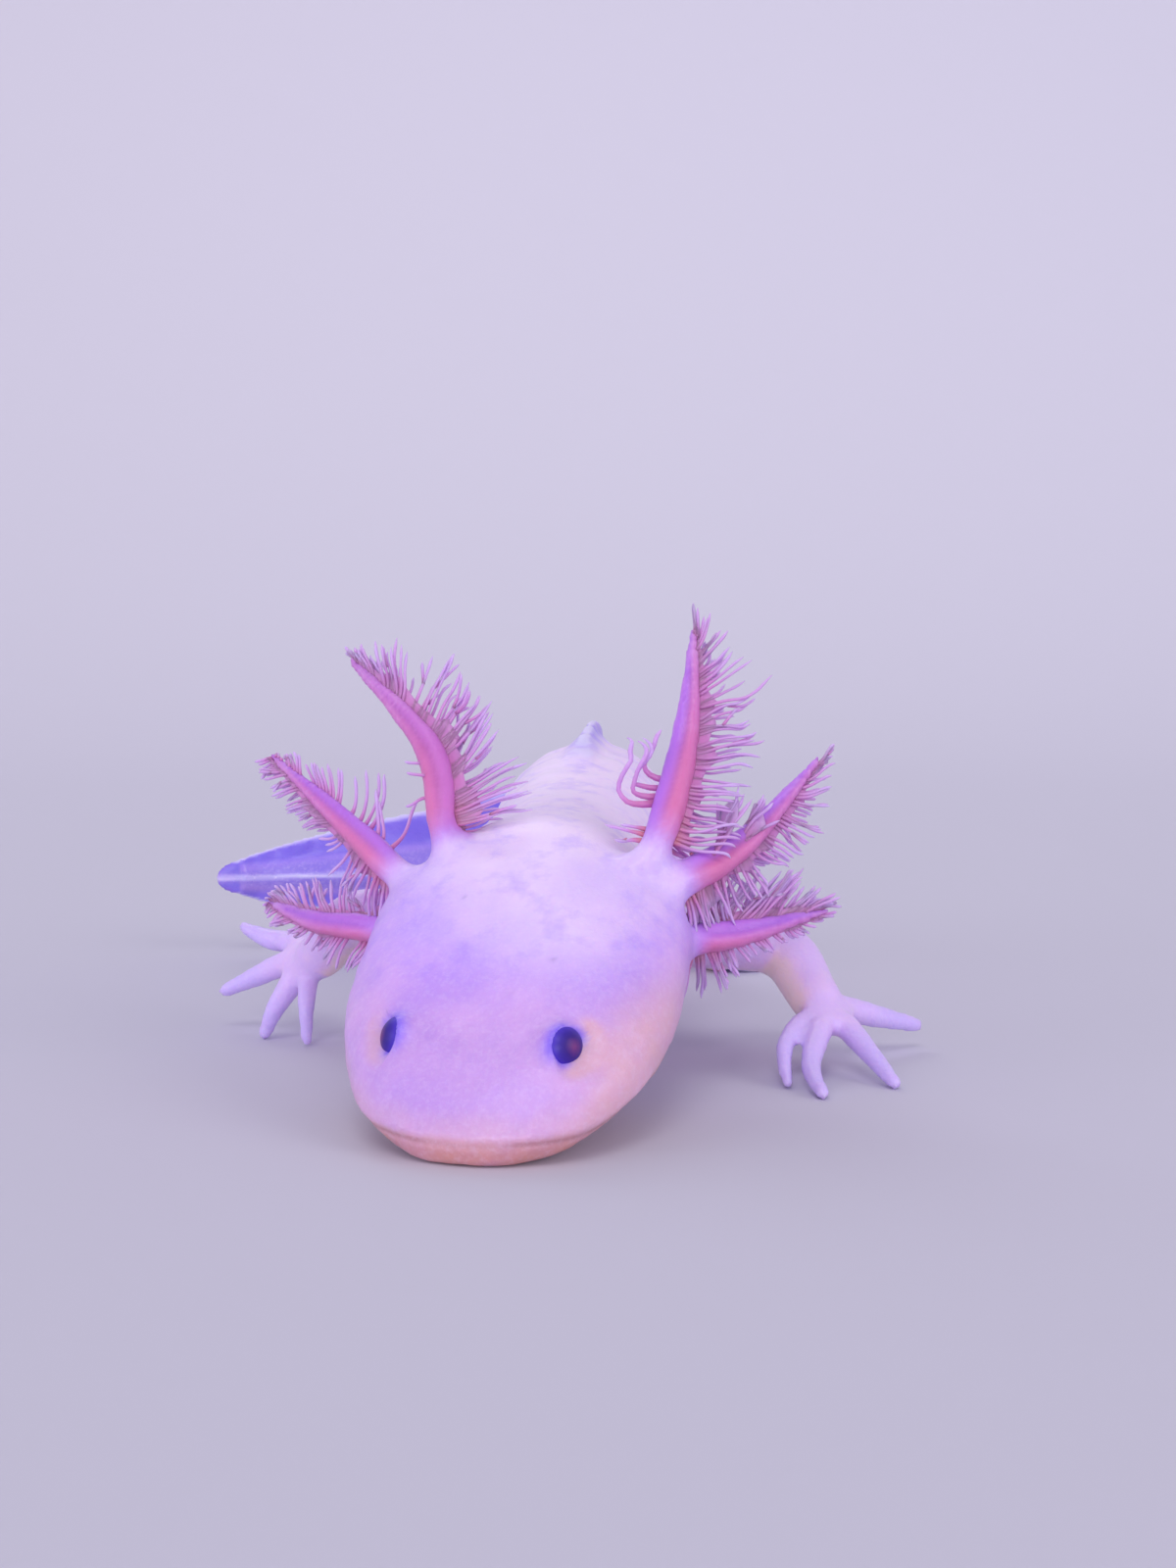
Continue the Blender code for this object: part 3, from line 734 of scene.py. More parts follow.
def thinFins(points):       # down to the rim's thickness, with a soft ruffle
    place, across, rise, _, halfHeight, side = spinePlaces(points)
    change = np.zeros(len(points))
    for which, sign in (("top", 1), ("under", -1)):
        beyond = rise * sign - halfHeight
        onFin = eased((beyond - 0.25) / 0.8) * (np.abs(across) < 2.4) * (place > fin[which][0][0])
        foot = finFoot(place, beyond)
        wanted = (fin["rim"] + foot) / (fin["halfThick"] + foot)
        change = np.where(onFin > 0, across * (wanted - 1) * onFin, change)
        height = np.clip(beyond / np.maximum(finReach(which, place), 0.5), 0, 1)
        ruffle = 0.22 * np.sin(place * 5.5 + sign) + 0.12 * np.sin(place * 13.1)
        change += np.where(onFin > 0, ruffle * height * onFin * eased((place - 4.6) / 1.5), 0)
    end = eased((place - trunk["tailEnd"] + 0.15) / 0.1)
    change = change * (1 - end) + across * (fin["rim"] / fin["halfThick"] - 1) * end
    return points + side * change[:, None]


def sculpt(mesh):
    points = meshPoints(mesh)
    height, present = mouthParts(points)
    push = -mouth["depth"] * bell(height, mouth["width"]) * present
    push += mouth["lip"] * bell(height - 0.5, 0.45) * present
    push -= 0.1 * bell(height + 0.6, 0.5) * present
    local = toHead(points)
    u, v, w = local.T
    for side in (1, -1):
        distance = np.linalg.norm(local - np.array(nostril["place"]) * (side, 1, 1), axis=1)
        push -= nostril["depth"] * bell(distance, nostril["radius"])
        push += skinForm["cheek"] * bell(np.hypot(u - side * 6.2, v - 11.0), 3.2) * eased((w - 3) / 2)
    push -= foldDepths(points)
    for name, (belonging, stalkPlace) in gillShare(points).items():
        angle = np.degrees(np.arccos(stalkFacing(points, name, stalkPlace, "groove")))
        depth = skinForm["groove"] * eased((stalkPlace - 1.1) / 0.4) * eased((2.8 - stalkPlace) / 0.6)
        push -= belonging * depth * (bell(angle, 22) - 0.5 * bell(angle - 46, 20))
    push += folds["uneven"] * waves(points, 3.1, 4) * (1 - 0.7 * limbShare(points)[0])
    push += skinForm["grain"] * waves(points, 1.1, 5)
    push -= skinForm["brow"] * bell(np.hypot(u, v - 5.2), 2.6) * (w > 3)
    place, across, rise, _, halfHeight, _ = spinePlaces(points)
    onNeck = bell(place - 0.75, 1.0) * (v > 20) * eased((v - 20) / 5)
    push += skinForm["nape"] * onNeck * eased(rise / halfHeight) * bell(across + 1.5, 6.5)
    push -= skinForm["crown"] * bell(v - 22, 2.8) * eased((w - 8) / 3) * bell(u, 8)
    return opened(points + meshNormals(mesh) * push[:, None])


# marks in the head's frame: place, radius and strength
patches = {
    "violet": (((-4.4, 1.4, 2.8), 1.5, 0.8), ((-4.6, 9.0, 7.2), 2.0, 0.5), ((-3.15, 5.6, 5.9), 1.3, 0.35),
               ((-5.8, 7.6, 6.3), 1.4, 0.35), ((3.7, 6.3, 6.1), 1.1, 0.3), ((2.3, 5.1, 5.8), 0.9, 0.2),
               ((-1.7, 1.25, 3.4), 0.8, 0.25), ((1.0, 14.0, 10.2), 1.0, 0.15)),
    "freckle": (((3.3, 11.2, 8.3), 0.16, 1.0), ((-3.3, 16.2, 10.05), 0.14, 0.45),
                ((0.8, 5.3, 5.95), 0.16, 0.4), ((1.1, 8.6, 7.6), 0.22, 0.3),
                ((3.7, 20.0, 11.2), 0.12, 0.4)),
}
lidTone = {1: 0.8, -1: 0.35}    # how warm the lower lid is, left and right


def marks(which, local):
    return sum(strength * bell(np.linalg.norm(local - spot, axis=1), radius)
               for spot, radius, strength in patches[which])


def stalkMasks(points):
    masks = {name: np.zeros(len(points)) for name in ("stalk", "along", "ridge", "furrow")}
    for name, (share, place) in gillShare(points).items():
        edge = -0.2 if "low" in name else 0.0
        facing = eased((stalkFacing(points, name, place, "ridge") - edge) / 0.95)
        angle = np.degrees(np.arccos(stalkFacing(points, name, place, "groove")))
        found = {"stalk": share, "along": share * np.clip((place - 1) / 2, 0, 1),
                 "ridge": share * facing * gills[name]["violet"],
                 # painted shade along each stalk's furrow
                 "furrow": share * bell(angle, 16) * eased((place - 1.1) / 0.4)}
        for mask, values in found.items():
            masks[mask] = np.maximum(masks[mask], values)
    return masks


def eyeMasks(points):       # the dark ring round each eye, and the warm lid below it
    halo = np.zeros(len(points))
    lid = np.zeros(len(points))
    opening = math.radians(eye["opening"])
    for side in (1, -1):
        offset = points - eyeMiddle(side)
        depth = offset @ eyeAxis(side)
        flat = offset - depth[:, None] * eyeAxis(side)
        beyond = np.hypot(np.linalg.norm(flat, axis=1) - eye["radius"] * math.sin(opening),
                          depth - eye["radius"] * math.cos(opening))
        inward = unit(flat) @ unit(headTurn[:, 0] * -side + headTurn[:, 2] * 0.5)
        halo = np.maximum(halo, bell(beyond, 0.75) * eased((inward + 0.1) / 0.9))
        halo = np.maximum(halo, 0.8 * bell(beyond, 0.3))
        lid = np.maximum(lid, bell(beyond - 0.8, 0.45) * eased((0.15 - inward) / 0.6) * lidTone[side])
    return halo, lid


def finMasks(place, rise, halfHeight):
    onFin = np.zeros(len(place))
    rim = np.zeros(len(place))
    for which, sign in (("top", 1), ("under", -1)):
        beyond = rise * sign - halfHeight
        reach = np.maximum(finReach(which, place), 0.3)
        there = (place > fin[which][0][0]) * eased((beyond + 0.2) / 1.3)
        onFin = np.maximum(onFin, there * (0.65 + 0.35 * eased((place - 5.2) / 2.2)))
        rim = np.maximum(rim, there * eased((beyond / reach - 0.82) / 0.14))
    end = eased((place - trunk["tailEnd"] + 0.1) / 0.1) * eased((np.abs(rise) - 0.2) / 0.5)
    return {"fin": np.maximum(onFin, end), "rim": rim,
            "muscle": eased((place - 6.5) / 2) * (1 - onFin),
            "midline": bell(rise, 0.2) * eased((place - 7.0) / 1.5)}


def skinMasks(points, normals):       # every mask that the skin's colours need, by name
    local = toHead(points)
    u, v, w = local.T
    place, _, rise, _, halfHeight, _ = spinePlaces(points)
    onHead = eased((24.5 - v) / 3.0)
    height, present = mouthParts(points)
    masks = stalkMasks(points)
    stalk = masks["stalk"]
    limb, tip, _ = limbShare(points)
    limb = limb * (1 - stalk)
    clear = (1 - limb) * (1 - stalk)
    # how much a surface faces in towards the body and down, where the limbs take painted warm light
    facingIn = -normals[:, 0] * np.sign(points[:, 0] - trunk["middleX"])
    facingIn = facingIn - 0.35 * normals[:, 2] - 0.2 * normals[:, 1]
    jaw = onHead * eased((0.75 - height) / 1.6) * eased((21 - v) / 15)
    half = np.maximum(headSizes(np.clip(v, 0.3, 24))[0], 1.0)
    border = 0.52 + 0.03 * np.maximum(v - 6, 0) + 0.09 * np.maximum(6 - v, 0)
    cheek = eased((u / half - border) / 0.5) * eased((21 - v) / 9) * onHead
    under = eased((-rise / halfHeight + 0.1) / 0.9)
    halo, lid = eyeMasks(points)
    lips = eased((2.6 - height) / 2.0) * onHead * present
    atCorner = 0.3 + 0.7 * eased((np.abs(u) / half - 0.7) / 0.2)
    # the cheek's share is partly painted warm light on the left side of the face; jaw, lid, lips and
    # underside are the skin's own peach
    warm = np.clip(jaw + 0.8 * cheek + lid + 0.3 * lips + 0.45 * under, 0, 1)
    fromTip = np.linalg.norm((local - (-1.9, 3.6, 4.5)) * (1, 0.8, 0.8), axis=1)
    snout = 0.6 * bell(fromTip, 4.4) + marks("violet", local)
    # painted top light: the crown and the top of the trunk are paler where light from above falls on them
    bright = 0.8 * onHead * eased((v - 6.5 + 0.35 * u) / 9) * eased((w - 6) / 3)
    bright = bright * bell(u - 1.5, 7.5 + 8 * eased((v - 15) / 8))
    onTop = 0.45 + 0.55 * eased((rise / halfHeight + 0.5) / 1.1)
    bright = bright + (1 - onHead) * onTop * eased((8.4 - place) / 3)
    masks.update({name: values * clear for name, values in finMasks(place, rise, halfHeight).items()})
    masks.update({
        "warm": warm * (1 - stalk),
        "snout": np.clip(snout, 0, 1) * onHead,
        "freckle": marks("freckle", local),
        "jaw": jaw,
        "halo": halo,
        "bright": bright * clear,
        "limb": limb,
        "tip": tip,
        "inner": eased((facingIn + 0.1) / 1.1) * (1 - 0.95 * eased(tip * 5)),
        # painted shade along the mouth line, strongest towards its corners
        "crease": bell(height, 0.16) * present * onHead * atCorner,
        # painted shade in the grooves of the body's folds
        "fold": np.clip(foldDepths(points) / folds["backDepth"], 0, 1) * (1 - onHead) * clear,
    })
    return masks


def writeMasks(mesh, masks):
    for name, values in masks.items():
        kind, key = ("FLOAT_VECTOR", "vector") if values.ndim == 2 else ("FLOAT", "value")
        layer = mesh.attributes.new(name, kind, "POINT")
        layer.data.foreach_set(key, np.ascontiguousarray(values, np.float32).ravel())


def makeSkin():
    points, faces = joined(bodyForms())
    mesh = remeshed(points, faces, skinForm["voxel"])
    points = meshPoints(mesh)
    print("skin remeshed", len(points), "points")
    edges = meshEdges(mesh)
    points = relax(points, edges, skinForm["evenOut"])
    _, _, joint = limbShare(points)
    for name in gills:
        distance = np.linalg.norm(points - gillPath(name)[1], axis=1)
        joint = np.maximum(joint, bell(distance, 2.2))
    points = relax(points, edges, skinForm["meltJoins"], joint, keepVolume=False)
    setPoints(mesh, points)
    height, present = mouthParts(points)
    once, twice = skinForm["finer"]
    refine(mesh, nearEyes(points, once) | (np.abs(height) < 0.75) & (present > 0.02))
    refine(mesh, nearEyes(meshPoints(mesh), twice))
    points = meshPoints(mesh)
    points = relax(points, meshEdges(mesh), 3, nearEyes(points, once + 0.1).astype(float))
    setPoints(mesh, thinFins(points))
    setPoints(mesh, sculpt(mesh))
    points = meshPoints(mesh)
    u, v, w = toHead(points).T
    onNape = bell(v - 24.5, 4.0) * eased((w - 4) / 3) * bell(u, 5)
    points = relax(points, meshEdges(mesh), skinForm["meltNape"], onNape, keepVolume=False)
    points[:, 2] = np.maximum(points[:, 2], 0.0)
    writeMasks(mesh, skinMasks(points, meshNormals(mesh)))
    setPoints(mesh, (points + shift) * mm)
    return mesh


class Wire:     # one output socket: sums and products of wires add Math nodes
    def __init__(self, graph, socket):
        self.graph = graph
        self.socket = socket

    def math(self, operation, *values):
        return self.graph.node("ShaderNodeMath", {"operation": operation}, dict(enumerate(values)))

    def __add__(self, other):
        return self.math("ADD", self, other)

    def __sub__(self, other):
        return self.math("SUBTRACT", self, other)

    def __rsub__(self, other):
        return self.math("SUBTRACT", other, self)

    def __mul__(self, other):
        return self.math("MULTIPLY", self, other)

    def __pow__(self, other):
        return self.math("POWER", self, other)

    __radd__ = __add__
    __rmul__ = __mul__

    def clamp(self):
        return self.graph.node("ShaderNodeClamp", {}, {"Value": self})

    def size(self):
        return self.math("ABSOLUTE", self)


class Graph:
    def __init__(self, tree):
        self.tree = tree

    def node(self, kind, settings, sockets, out=0):
        made = self.tree.nodes.new(kind)
        for name, value in settings.items():
            if name == "stops":
                self.setStops(made.color_ramp, value)
            else:
                setattr(made, name, value)
        for name, value in sockets.items():
            if isinstance(value, Wire):
                self.tree.links.new(value.socket, made.inputs[name])
            else:
                made.inputs[name].default_value = value
        return Wire(self, made.outputs[out]) if made.outputs else None

    def setStops(self, ramp, stops):
        while len(ramp.elements) < len(stops):
            ramp.elements.new(0.5)
        for element, (position, colour) in zip(ramp.elements, stops):
            element.position = position
            element.color = colour

    def plug(self, shader, name, wire):
        self.tree.links.new(wire.socket, shader.inputs[name])

    def mask(self, name):
        return self.node("ShaderNodeAttribute", {"attribute_name": name}, {}, "Fac")

    def mix(self, factor, low, high):
        return self.node("ShaderNodeMix", {"data_type": "RGBA"}, {0: factor, 6: low, 7: high}, 2)

    def place(self):
        return self.node("ShaderNodeTexCoord", {}, {}, "Object")

    def noise(self, scale, detail=3.0, roughness=0.55):
        sockets = {"Vector": self.place(), "Scale": scale, "Detail": detail, "Roughness": roughness}
        return self.node("ShaderNodeTexNoise", {}, sockets)

    def bump(self, height, strength, distance, under=None):
        sockets = {"Height": height, "Strength": strength, "Distance": distance}
        if under:
            sockets["Normal"] = under
        return self.node("ShaderNodeBump", {}, sockets)


def tint(*shown):       # a displayed colour as a linear one
    linear = [((part + 0.055) / 1.055) ** 2.4 if part > 0.04 else part / 12.92 for part in shown]
    return (*linear, 1.0)


def newMaterial(name, fixed):
    material = bpy.data.materials.new(name)
    material.use_nodes = True
    shader = material.node_tree.nodes["Principled BSDF"]
    for socket, value in fixed.items():
        shader.inputs[socket].default_value = value
    return material, shader, Graph(material.node_tree)


skinLook = {
    "lavender": tint(0.75, 0.60, 1.0),
    "lilac": tint(0.86, 0.69, 1.0),
    "bright": tint(0.95, 0.87, 1.0),
    "violet": tint(0.58, 0.42, 1.0),
    "peach": tint(0.90, 0.71, 0.76),
    "jaw": tint(0.85, 0.59, 0.51),
    "crease": tint(0.74, 0.52, 0.56),
    # painted shade for the mouth line
    "freckle": tint(0.36, 0.26, 0.56),
    "halo": tint(0.36, 0.28, 0.98),
    "limb": tint(0.89, 0.77, 1.0),
    "palm": tint(1.0, 0.86, 0.93),
    "warmLitOrange": tint(1.0, 0.89, 0.84),
    "fingerTip": tint(0.80, 0.73, 1.0),
    "stalk": tint(0.88, 0.49, 0.72),
    "flush": tint(0.76, 0.34, 0.54),
    "ridge": tint(0.70, 0.46, 0.96),
    "stalkTip": tint(0.56, 0.36, 0.86),
    "fin": tint(0.45, 0.39, 0.88),
    "rim": tint(0.88, 0.86, 1.0),
    "muscle": tint(0.52, 0.46, 0.87),
}


def skinMaterial():
    look = skinLook
    material, shader, graph = newMaterial("moistSkin", {
        "Subsurface Weight": 0.35, "Subsurface Radius": (1.0, 0.55, 0.75), "Subsurface Scale": 1.2 * mm,
        "Specular IOR Level": 0.45, "Coat Weight": 0.2, "Coat Roughness": 0.2})
    mask = graph.mask
    mix = graph.mix
    broad = graph.noise(140.0, 4.0)
    blotch = graph.noise(420.0, 5.0, 0.6)
    fine = graph.noise(2600.0, 3.0, 0.7)
    colour = mix(((broad - 0.38) * 3.4).clamp(), look["lavender"], look["lilac"])
    # painted top light, paler on the crown and on the top of the trunk
    colour = mix((mask("bright") * (0.6 + broad * 0.8)).clamp(), colour, look["bright"])
    colour = mix((((blotch - 0.50) * 3.2).clamp() * 0.45 + mask("snout") * 0.55).clamp(),
                 colour, look["violet"])
    peach = mix(mask("jaw"), look["peach"], look["jaw"])
    colour = mix((mask("warm") * (0.62 + blotch * 0.5)).clamp(), colour, peach)
    # painted shade in the grooves of the body's folds
    colour = mix(mask("fold") * 0.2, colour, look["lavender"])
    # halo and freckle are the skin's own marks; the mouth line's colour is painted shade
    for name in ("halo", "crease", "freckle"):
        colour = mix(mask(name) * 0.8, colour, look[name])
    # the limbs' inner sides: partly their own pink flesh, partly painted warm light, made lighter where
    # they stand in shade
    inner = mask("inner") + blotch * 0.8 - 0.4
    limb = mix((inner * 1.3).clamp(), look["limb"], look["palm"])
    limb = mix(((inner - 0.4) * 1.2).clamp(), limb, look["warmLitOrange"])
    limb = mix(mask("tip") * 0.8, limb, look["fingerTip"])
    colour = mix(mask("limb"), colour, limb)
    for name, strength, paint in (("fin", 0.85, "fin"), ("muscle", 0.8, "muscle"),
                                  ("midline", 0.95, "rim"), ("rim", 0.8, "rim")):
        colour = mix(mask(name) * strength, colour, look[paint])
    # random darker flush on the stalks, plus painted shade in each stalk's furrow
    flushed = (((blotch - 0.46) * 3.0).clamp() * 0.3 + mask("furrow") * 0.6).clamp()
    stalk = mix(flushed, look["stalk"], look["flush"])
    stalk = mix(mask("ridge") * 0.85, stalk, look["ridge"])
    stalk = mix((mask("along") ** 2.5) * 0.6, stalk, look["stalkTip"])
    rootFade = (mask("along") * 5.0).clamp()
    colour = mix(mask("stalk") * (0.35 + rootFade * 0.65), colour, stalk)
    # fine pale specks over plain skin: partly the skin's own mottling, partly painted sparkle of the wet
    # surface
    plain = (1.0 - mask("stalk")) * (1.0 - mask("fin"))
    colour = mix(((fine - 0.46) * 0.7).clamp() * plain, colour, look["bright"])
    grain = graph.node("ShaderNodeTexVoronoi", {}, {"Vector": graph.place(), "Scale": 4200.0}, "Distance")
    bump = graph.bump(fine, 0.5, 0.05 * mm, graph.bump(grain, 0.5, 0.03 * mm))
    graph.plug(shader, "Base Color", colour)
    graph.plug(shader, "Normal", bump)
    graph.plug(shader, "Roughness", 0.34 + blotch * 0.2)
    return material


def addPiece(name, mesh, material, nodes):
    piece = added(name, mesh)
    mesh.materials.clear()
    mesh.materials.append(material)
    mesh.shade_smooth()
    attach(piece, "root")
    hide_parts(*nodes)
    return piece


fleshNodes = ["head", "neck", "trunk_front", "trunk_rear", "tail_base", "tail_middle", "tail_tip",
              "back_fin", "tail_fin_upper", "tail_fin_lower"]
for part in ("upper_arm", "forearm", "hand", "thigh", "shank", "foot"):
    fleshNodes += [part + "_left", part + "_right"]
skin = addPiece("skin", makeSkin(), skinMaterial(), fleshNodes)
print("skin made", len(skin.data.polygons), "faces")


# from the edge of the eye to its middle
irisStops = ((0.0, tint(0.30, 0.20, 0.75)), (0.3, tint(0.22, 0.13, 0.60)), (0.55, tint(0.22, 0.11, 0.52)),
             (0.85, tint(0.42, 0.19, 0.50)), (1.0, tint(0.50, 0.22, 0.50)))


def eyeMaterial():
    material, shader, graph = newMaterial("darkEye", {
        "Roughness": 0.45, "Coat Weight": 0.15, "Coat Roughness": 0.3, "Specular IOR Level": 0.3})
    place = graph.mask("centre") + graph.noise(2500.0, 4.0, 0.6) * 0.2 - 0.1
    iris = graph.node("ShaderNodeValToRGB", {"stops": irisStops}, {"Fac": place})
    graph.plug(shader, "Base Color", iris)
    return material


def makeEye(name, side, material):
    bm = bmesh.new()
    bmesh.ops.create_uvsphere(bm, u_segments=48, v_segments=28, radius=eye["radius"])
    mesh = bpy.data.meshes.new(name)
    bm.to_mesh(mesh)
    bm.free()
    points = meshPoints(mesh)
    facing = np.degrees(np.arccos(np.clip(unit(points) @ eyeAxis(side), -1, 1)))
    writeMasks(mesh, {"centre": np.clip(1 - facing / (eye["opening"] + 4), 0, 1)})
    setPoints(mesh, (points + eyeMiddle(side) + shift) * mm)
    return addPiece("ball_" + name, mesh, material, [name])


darkEye = eyeMaterial()
for label, side in (("left", 1), ("right", -1)):
    makeEye("eye_" + label, side, darkEye)
print("eyes made")


# the filaments that stand in rows on each gill stalk
filament = {
    "thick": 0.27,
    "root": 0.55,           # how much wider each is at its root, where they grow together
    "knob": 0.18,
    "sway": 0.6,
    "bunch": 3.5,           # how many stand together
    "webReach": (0.22, 0.38),    # how far the web between them goes: beside a bunch, and inside it
    "webThick": 0.22,
    "webFrom": 20,          # rows of fewer filaments have no web, unless they ask for one
    "sides": 6,
    "segments": 15,
    "forks": 0.12,
    "seed": 11,
    # how unlike bunches are, and the filaments of one bunch
    "vary": {"turn": (5, 3.5), "back": (0.12, 0.07), "reach": (0.08, 0.07), "bend": (0.22, 0.1),
             "twist": (0.2, 0.1)},
}


def filamentTree(material):
    tree = bpy.data.node_groups.new("filamentRows", "GeometryNodeTree")
    ports = tree.interface
    ports.new_socket("Roots", in_out="INPUT", socket_type="NodeSocketGeometry")
    for name in ("Thickness", "Root", "Knob", "Sway"):
        ports.new_socket(name, in_out="INPUT", socket_type="NodeSocketFloat")
    ports.new_socket("Filaments", in_out="OUTPUT", socket_type="NodeSocketGeometry")
    node = Graph(tree).node
    inputs = {port.name: node("NodeGroupInput", {}, {}, port.name)
              for port in ports.items_tree if port.in_out == "INPUT"}

    def named(name, kind="FLOAT"):
        return node("GeometryNodeInputNamedAttribute", {"data_type": kind}, {"Name": name})

    def vectors(operation, first, second):
        return node("ShaderNodeVectorMath", {"operation": operation}, {0: first, 1: second})

    def scaled(vector, factor):
        return node("ShaderNodeVectorMath", {"operation": "SCALE"}, {0: vector, "Scale": factor})

    line = node("GeometryNodeCurvePrimitiveLine", {}, {"End": (0.0, 0.0, 1.0)})
    line = node("GeometryNodeResampleCurve", {}, {"Curve": line, "Count": filament["segments"] + 1})
    share = 1.0 - (1.0 - node("GeometryNodeSplineParameter", {}, {})) ** 1.3
    height = node("ShaderNodeCombineXYZ", {}, {2: share})
    line = node("GeometryNodeSetPosition", {}, {"Geometry": line, "Position": height})
    line = node("GeometryNodeStoreNamedAttribute", {"data_type": "FLOAT", "domain": "POINT"},
                {"Geometry": line, "Name": "along", "Value": share})
    way = named("way", "FLOAT_VECTOR")
    turn = node("FunctionNodeAlignRotationToVector", {"axis": "Z"}, {"Vector": way})
    placed = node("GeometryNodeInstanceOnPoints", {}, {
        "Points": inputs["Roots"], "Instance": line, "Rotation": turn, "Scale": named("reach")})
    lines = node("GeometryNodeRealizeInstances", {}, {"Geometry": placed})
    along = named("along")
    noise = node("ShaderNodeTexNoise", {}, {
        "Vector": node("GeometryNodeInputPosition", {}, {}), "Scale": 0.22, "Detail": 1.0}, "Color")
    loose = named("base") + along * (1.0 - named("base"))
    sway = scaled(vectors("SUBTRACT", noise, (0.5, 0.5, 0.5)), loose * inputs["Sway"] * 4.0)
    bend = scaled(named("curl", "FLOAT_VECTOR"), along * along)
    lines = node("GeometryNodeSetPosition", {}, {"Geometry": lines, "Offset": vectors("ADD", sway, bend)})
    knob = (1.0 - (along - 0.93).size() * 8.0).clamp() * inputs["Knob"]
    foot = ((1.0 - along * 2.0).clamp() ** 1.5) * inputs["Root"] * named("stalkSize")
    profile = (0.95 - along * 0.15 + knob + foot) * (1.0 - (along ** 24.0) * 0.7)
    circle = node("GeometryNodeCurvePrimitiveCircle", {},
                  {"Resolution": filament["sides"], "Radius": 1.0})
    tubes = node("GeometryNodeCurveToMesh", {}, {
        "Curve": lines, "Profile Curve": circle, "Fill Caps": True,
        "Scale": profile * inputs["Thickness"] * named("stout") * 0.5})
    soft = node("GeometryNodeSetShadeSmooth", {}, {"Geometry": tubes})
    painted = node("GeometryNodeSetMaterial", {}, {"Geometry": soft, "Material": material})
    node("NodeGroupOutput", {}, {"Filaments": painted})
    return tree


def rowRoots(path, widths, row, rng):   # what each filament of a row needs, as arrays by name
    count = row["count"]
    first, last = row["span"]
    bunches = np.cumsum(rng.uniform(size=count) < 1 / filament["bunch"])
    share = np.linspace(0, 1, count)
    for bunch in np.unique(bunches):
        members = bunches == bunch
        share[members] += (share[members].mean() - share[members]) * 0.3

    def varied(name):       # alike in a bunch, and a little different for each filament
        between, within = filament["vary"][name]
        return rng.normal(0, between, count)[bunches] + rng.normal(0, within, count)

    place = first + share * (last - first)
    along = heading(path, place)
    radius = sizeAt(widths, place)
    turn = np.radians(np.interp(share, (0, 0.5, 1), row["turn"]) + varied("turn"))
    way = unit(np.stack([np.cos(turn), row["back"] + varied("back"), np.sin(turn)], 1))
    outward = unit(way - along * (way * along).sum(1)[:, None])
    start, middle, end = row["reach"]
    reach = start + (middle - start) * eased(share / 0.5) + (end - middle) * eased((share - 0.55) / 0.45)
    reach = reach * (1 + varied("reach"))
    bend = np.interp(share, (0, 0.5, 1), np.broadcast_to(row["bend"], 3)) + varied("bend")
    curl = np.stack([-np.sin(turn) * bend, varied("twist"), np.cos(turn) * bend], 1)
    curl -= way * (reach * row["slow"])[:, None]
    inBunch = np.minimum(bunches == np.roll(bunches, 1), bunches == np.roll(bunches, -1)).astype(float)
    return {
        "root": smooth(path, place) + outward * (radius * 0.72)[:, None],
        "way": way,
        "curl": curl,
        "reach": reach,
        "stout": row["stout"] * rng.uniform(0.86, 1.06, count),
        "tone": rng.uniform(0, 1, count),
        "place": (place - 1) / 2,
        "stalkSize": np.minimum(radius, 1.2) / 1.2,
        "inBunch": 0.5 * inBunch + 0.25 * (np.roll(inBunch, 1) + np.roll(inBunch, -1)),
        "base": np.zeros(count),
    }


def forked(rows, rng):          # some filaments carry a shorter one half way along
    chosen = rng.uniform(size=len(rows["root"])) < filament["forks"]
    part = {name: values[chosen] for name, values in rows.items()}
    part["root"] = part["root"] + part["way"] * part["reach"][:, None] * 0.5 + part["curl"] * 0.5 ** 2
    part["way"] = unit(part["way"] + part["curl"] * 0.3 + rng.normal(0, 0.35, part["way"].shape))
    part["curl"] = part["curl"] * 0.4
    part["reach"] = part["reach"] * 0.45
    part["stalkSize"] = np.zeros(len(part["reach"]))
    part["base"] = np.full(len(part["reach"]), 0.5)
    return {name: np.concatenate([values, part[name]]) for name, values in rows.items()}


def cellUv(mesh, cells):        # each filament has its own cell of the map, and each face a part of it
    count = int(cells.max()) + 1
    across = math.ceil(math.sqrt(count))
    starts = readArray(mesh.polygons, "loop_start", 1, np.int32)[:, 0]
    totals = readArray(mesh.polygons, "loop_total", 1, np.int32)[:, 0]
    byCell = np.argsort(cells, kind="stable")
    firstOf = np.searchsorted(cells[byCell], np.arange(count))
    within = np.empty(len(cells), int)
    within[byCell] = np.arange(len(cells)) - firstOf[cells[byCell]]
    faceOf = np.repeat(np.arange(len(starts)), totals)
    turn = (np.arange(len(faceOf)) - starts[faceOf]) / totals[faceOf] * 2 * math.pi + math.pi / 4
    parts = math.ceil(math.sqrt(within.max() + 1))
    patch = np.stack([within % parts, within // parts], 1)[faceOf] + 0.5
    patch = (patch + 0.5 * np.stack([np.cos(turn), np.sin(turn)], 1)) / parts
    whole = np.stack([cells % across, cells // across], 1)[faceOf] + 0.03 + 0.94 * patch
    layer = mesh.uv_layers.new(name="OFBake")
    layer.data.foreach_set("uv", np.ascontiguousarray(whole / across, np.float32).ravel())


def evenedOut(values, rounds=4):
    values = values.copy()
    for _ in range(rounds):
        values[1:-1] = 0.5 * values[1:-1] + 0.25 * (values[:-2] + values[2:])
    return values


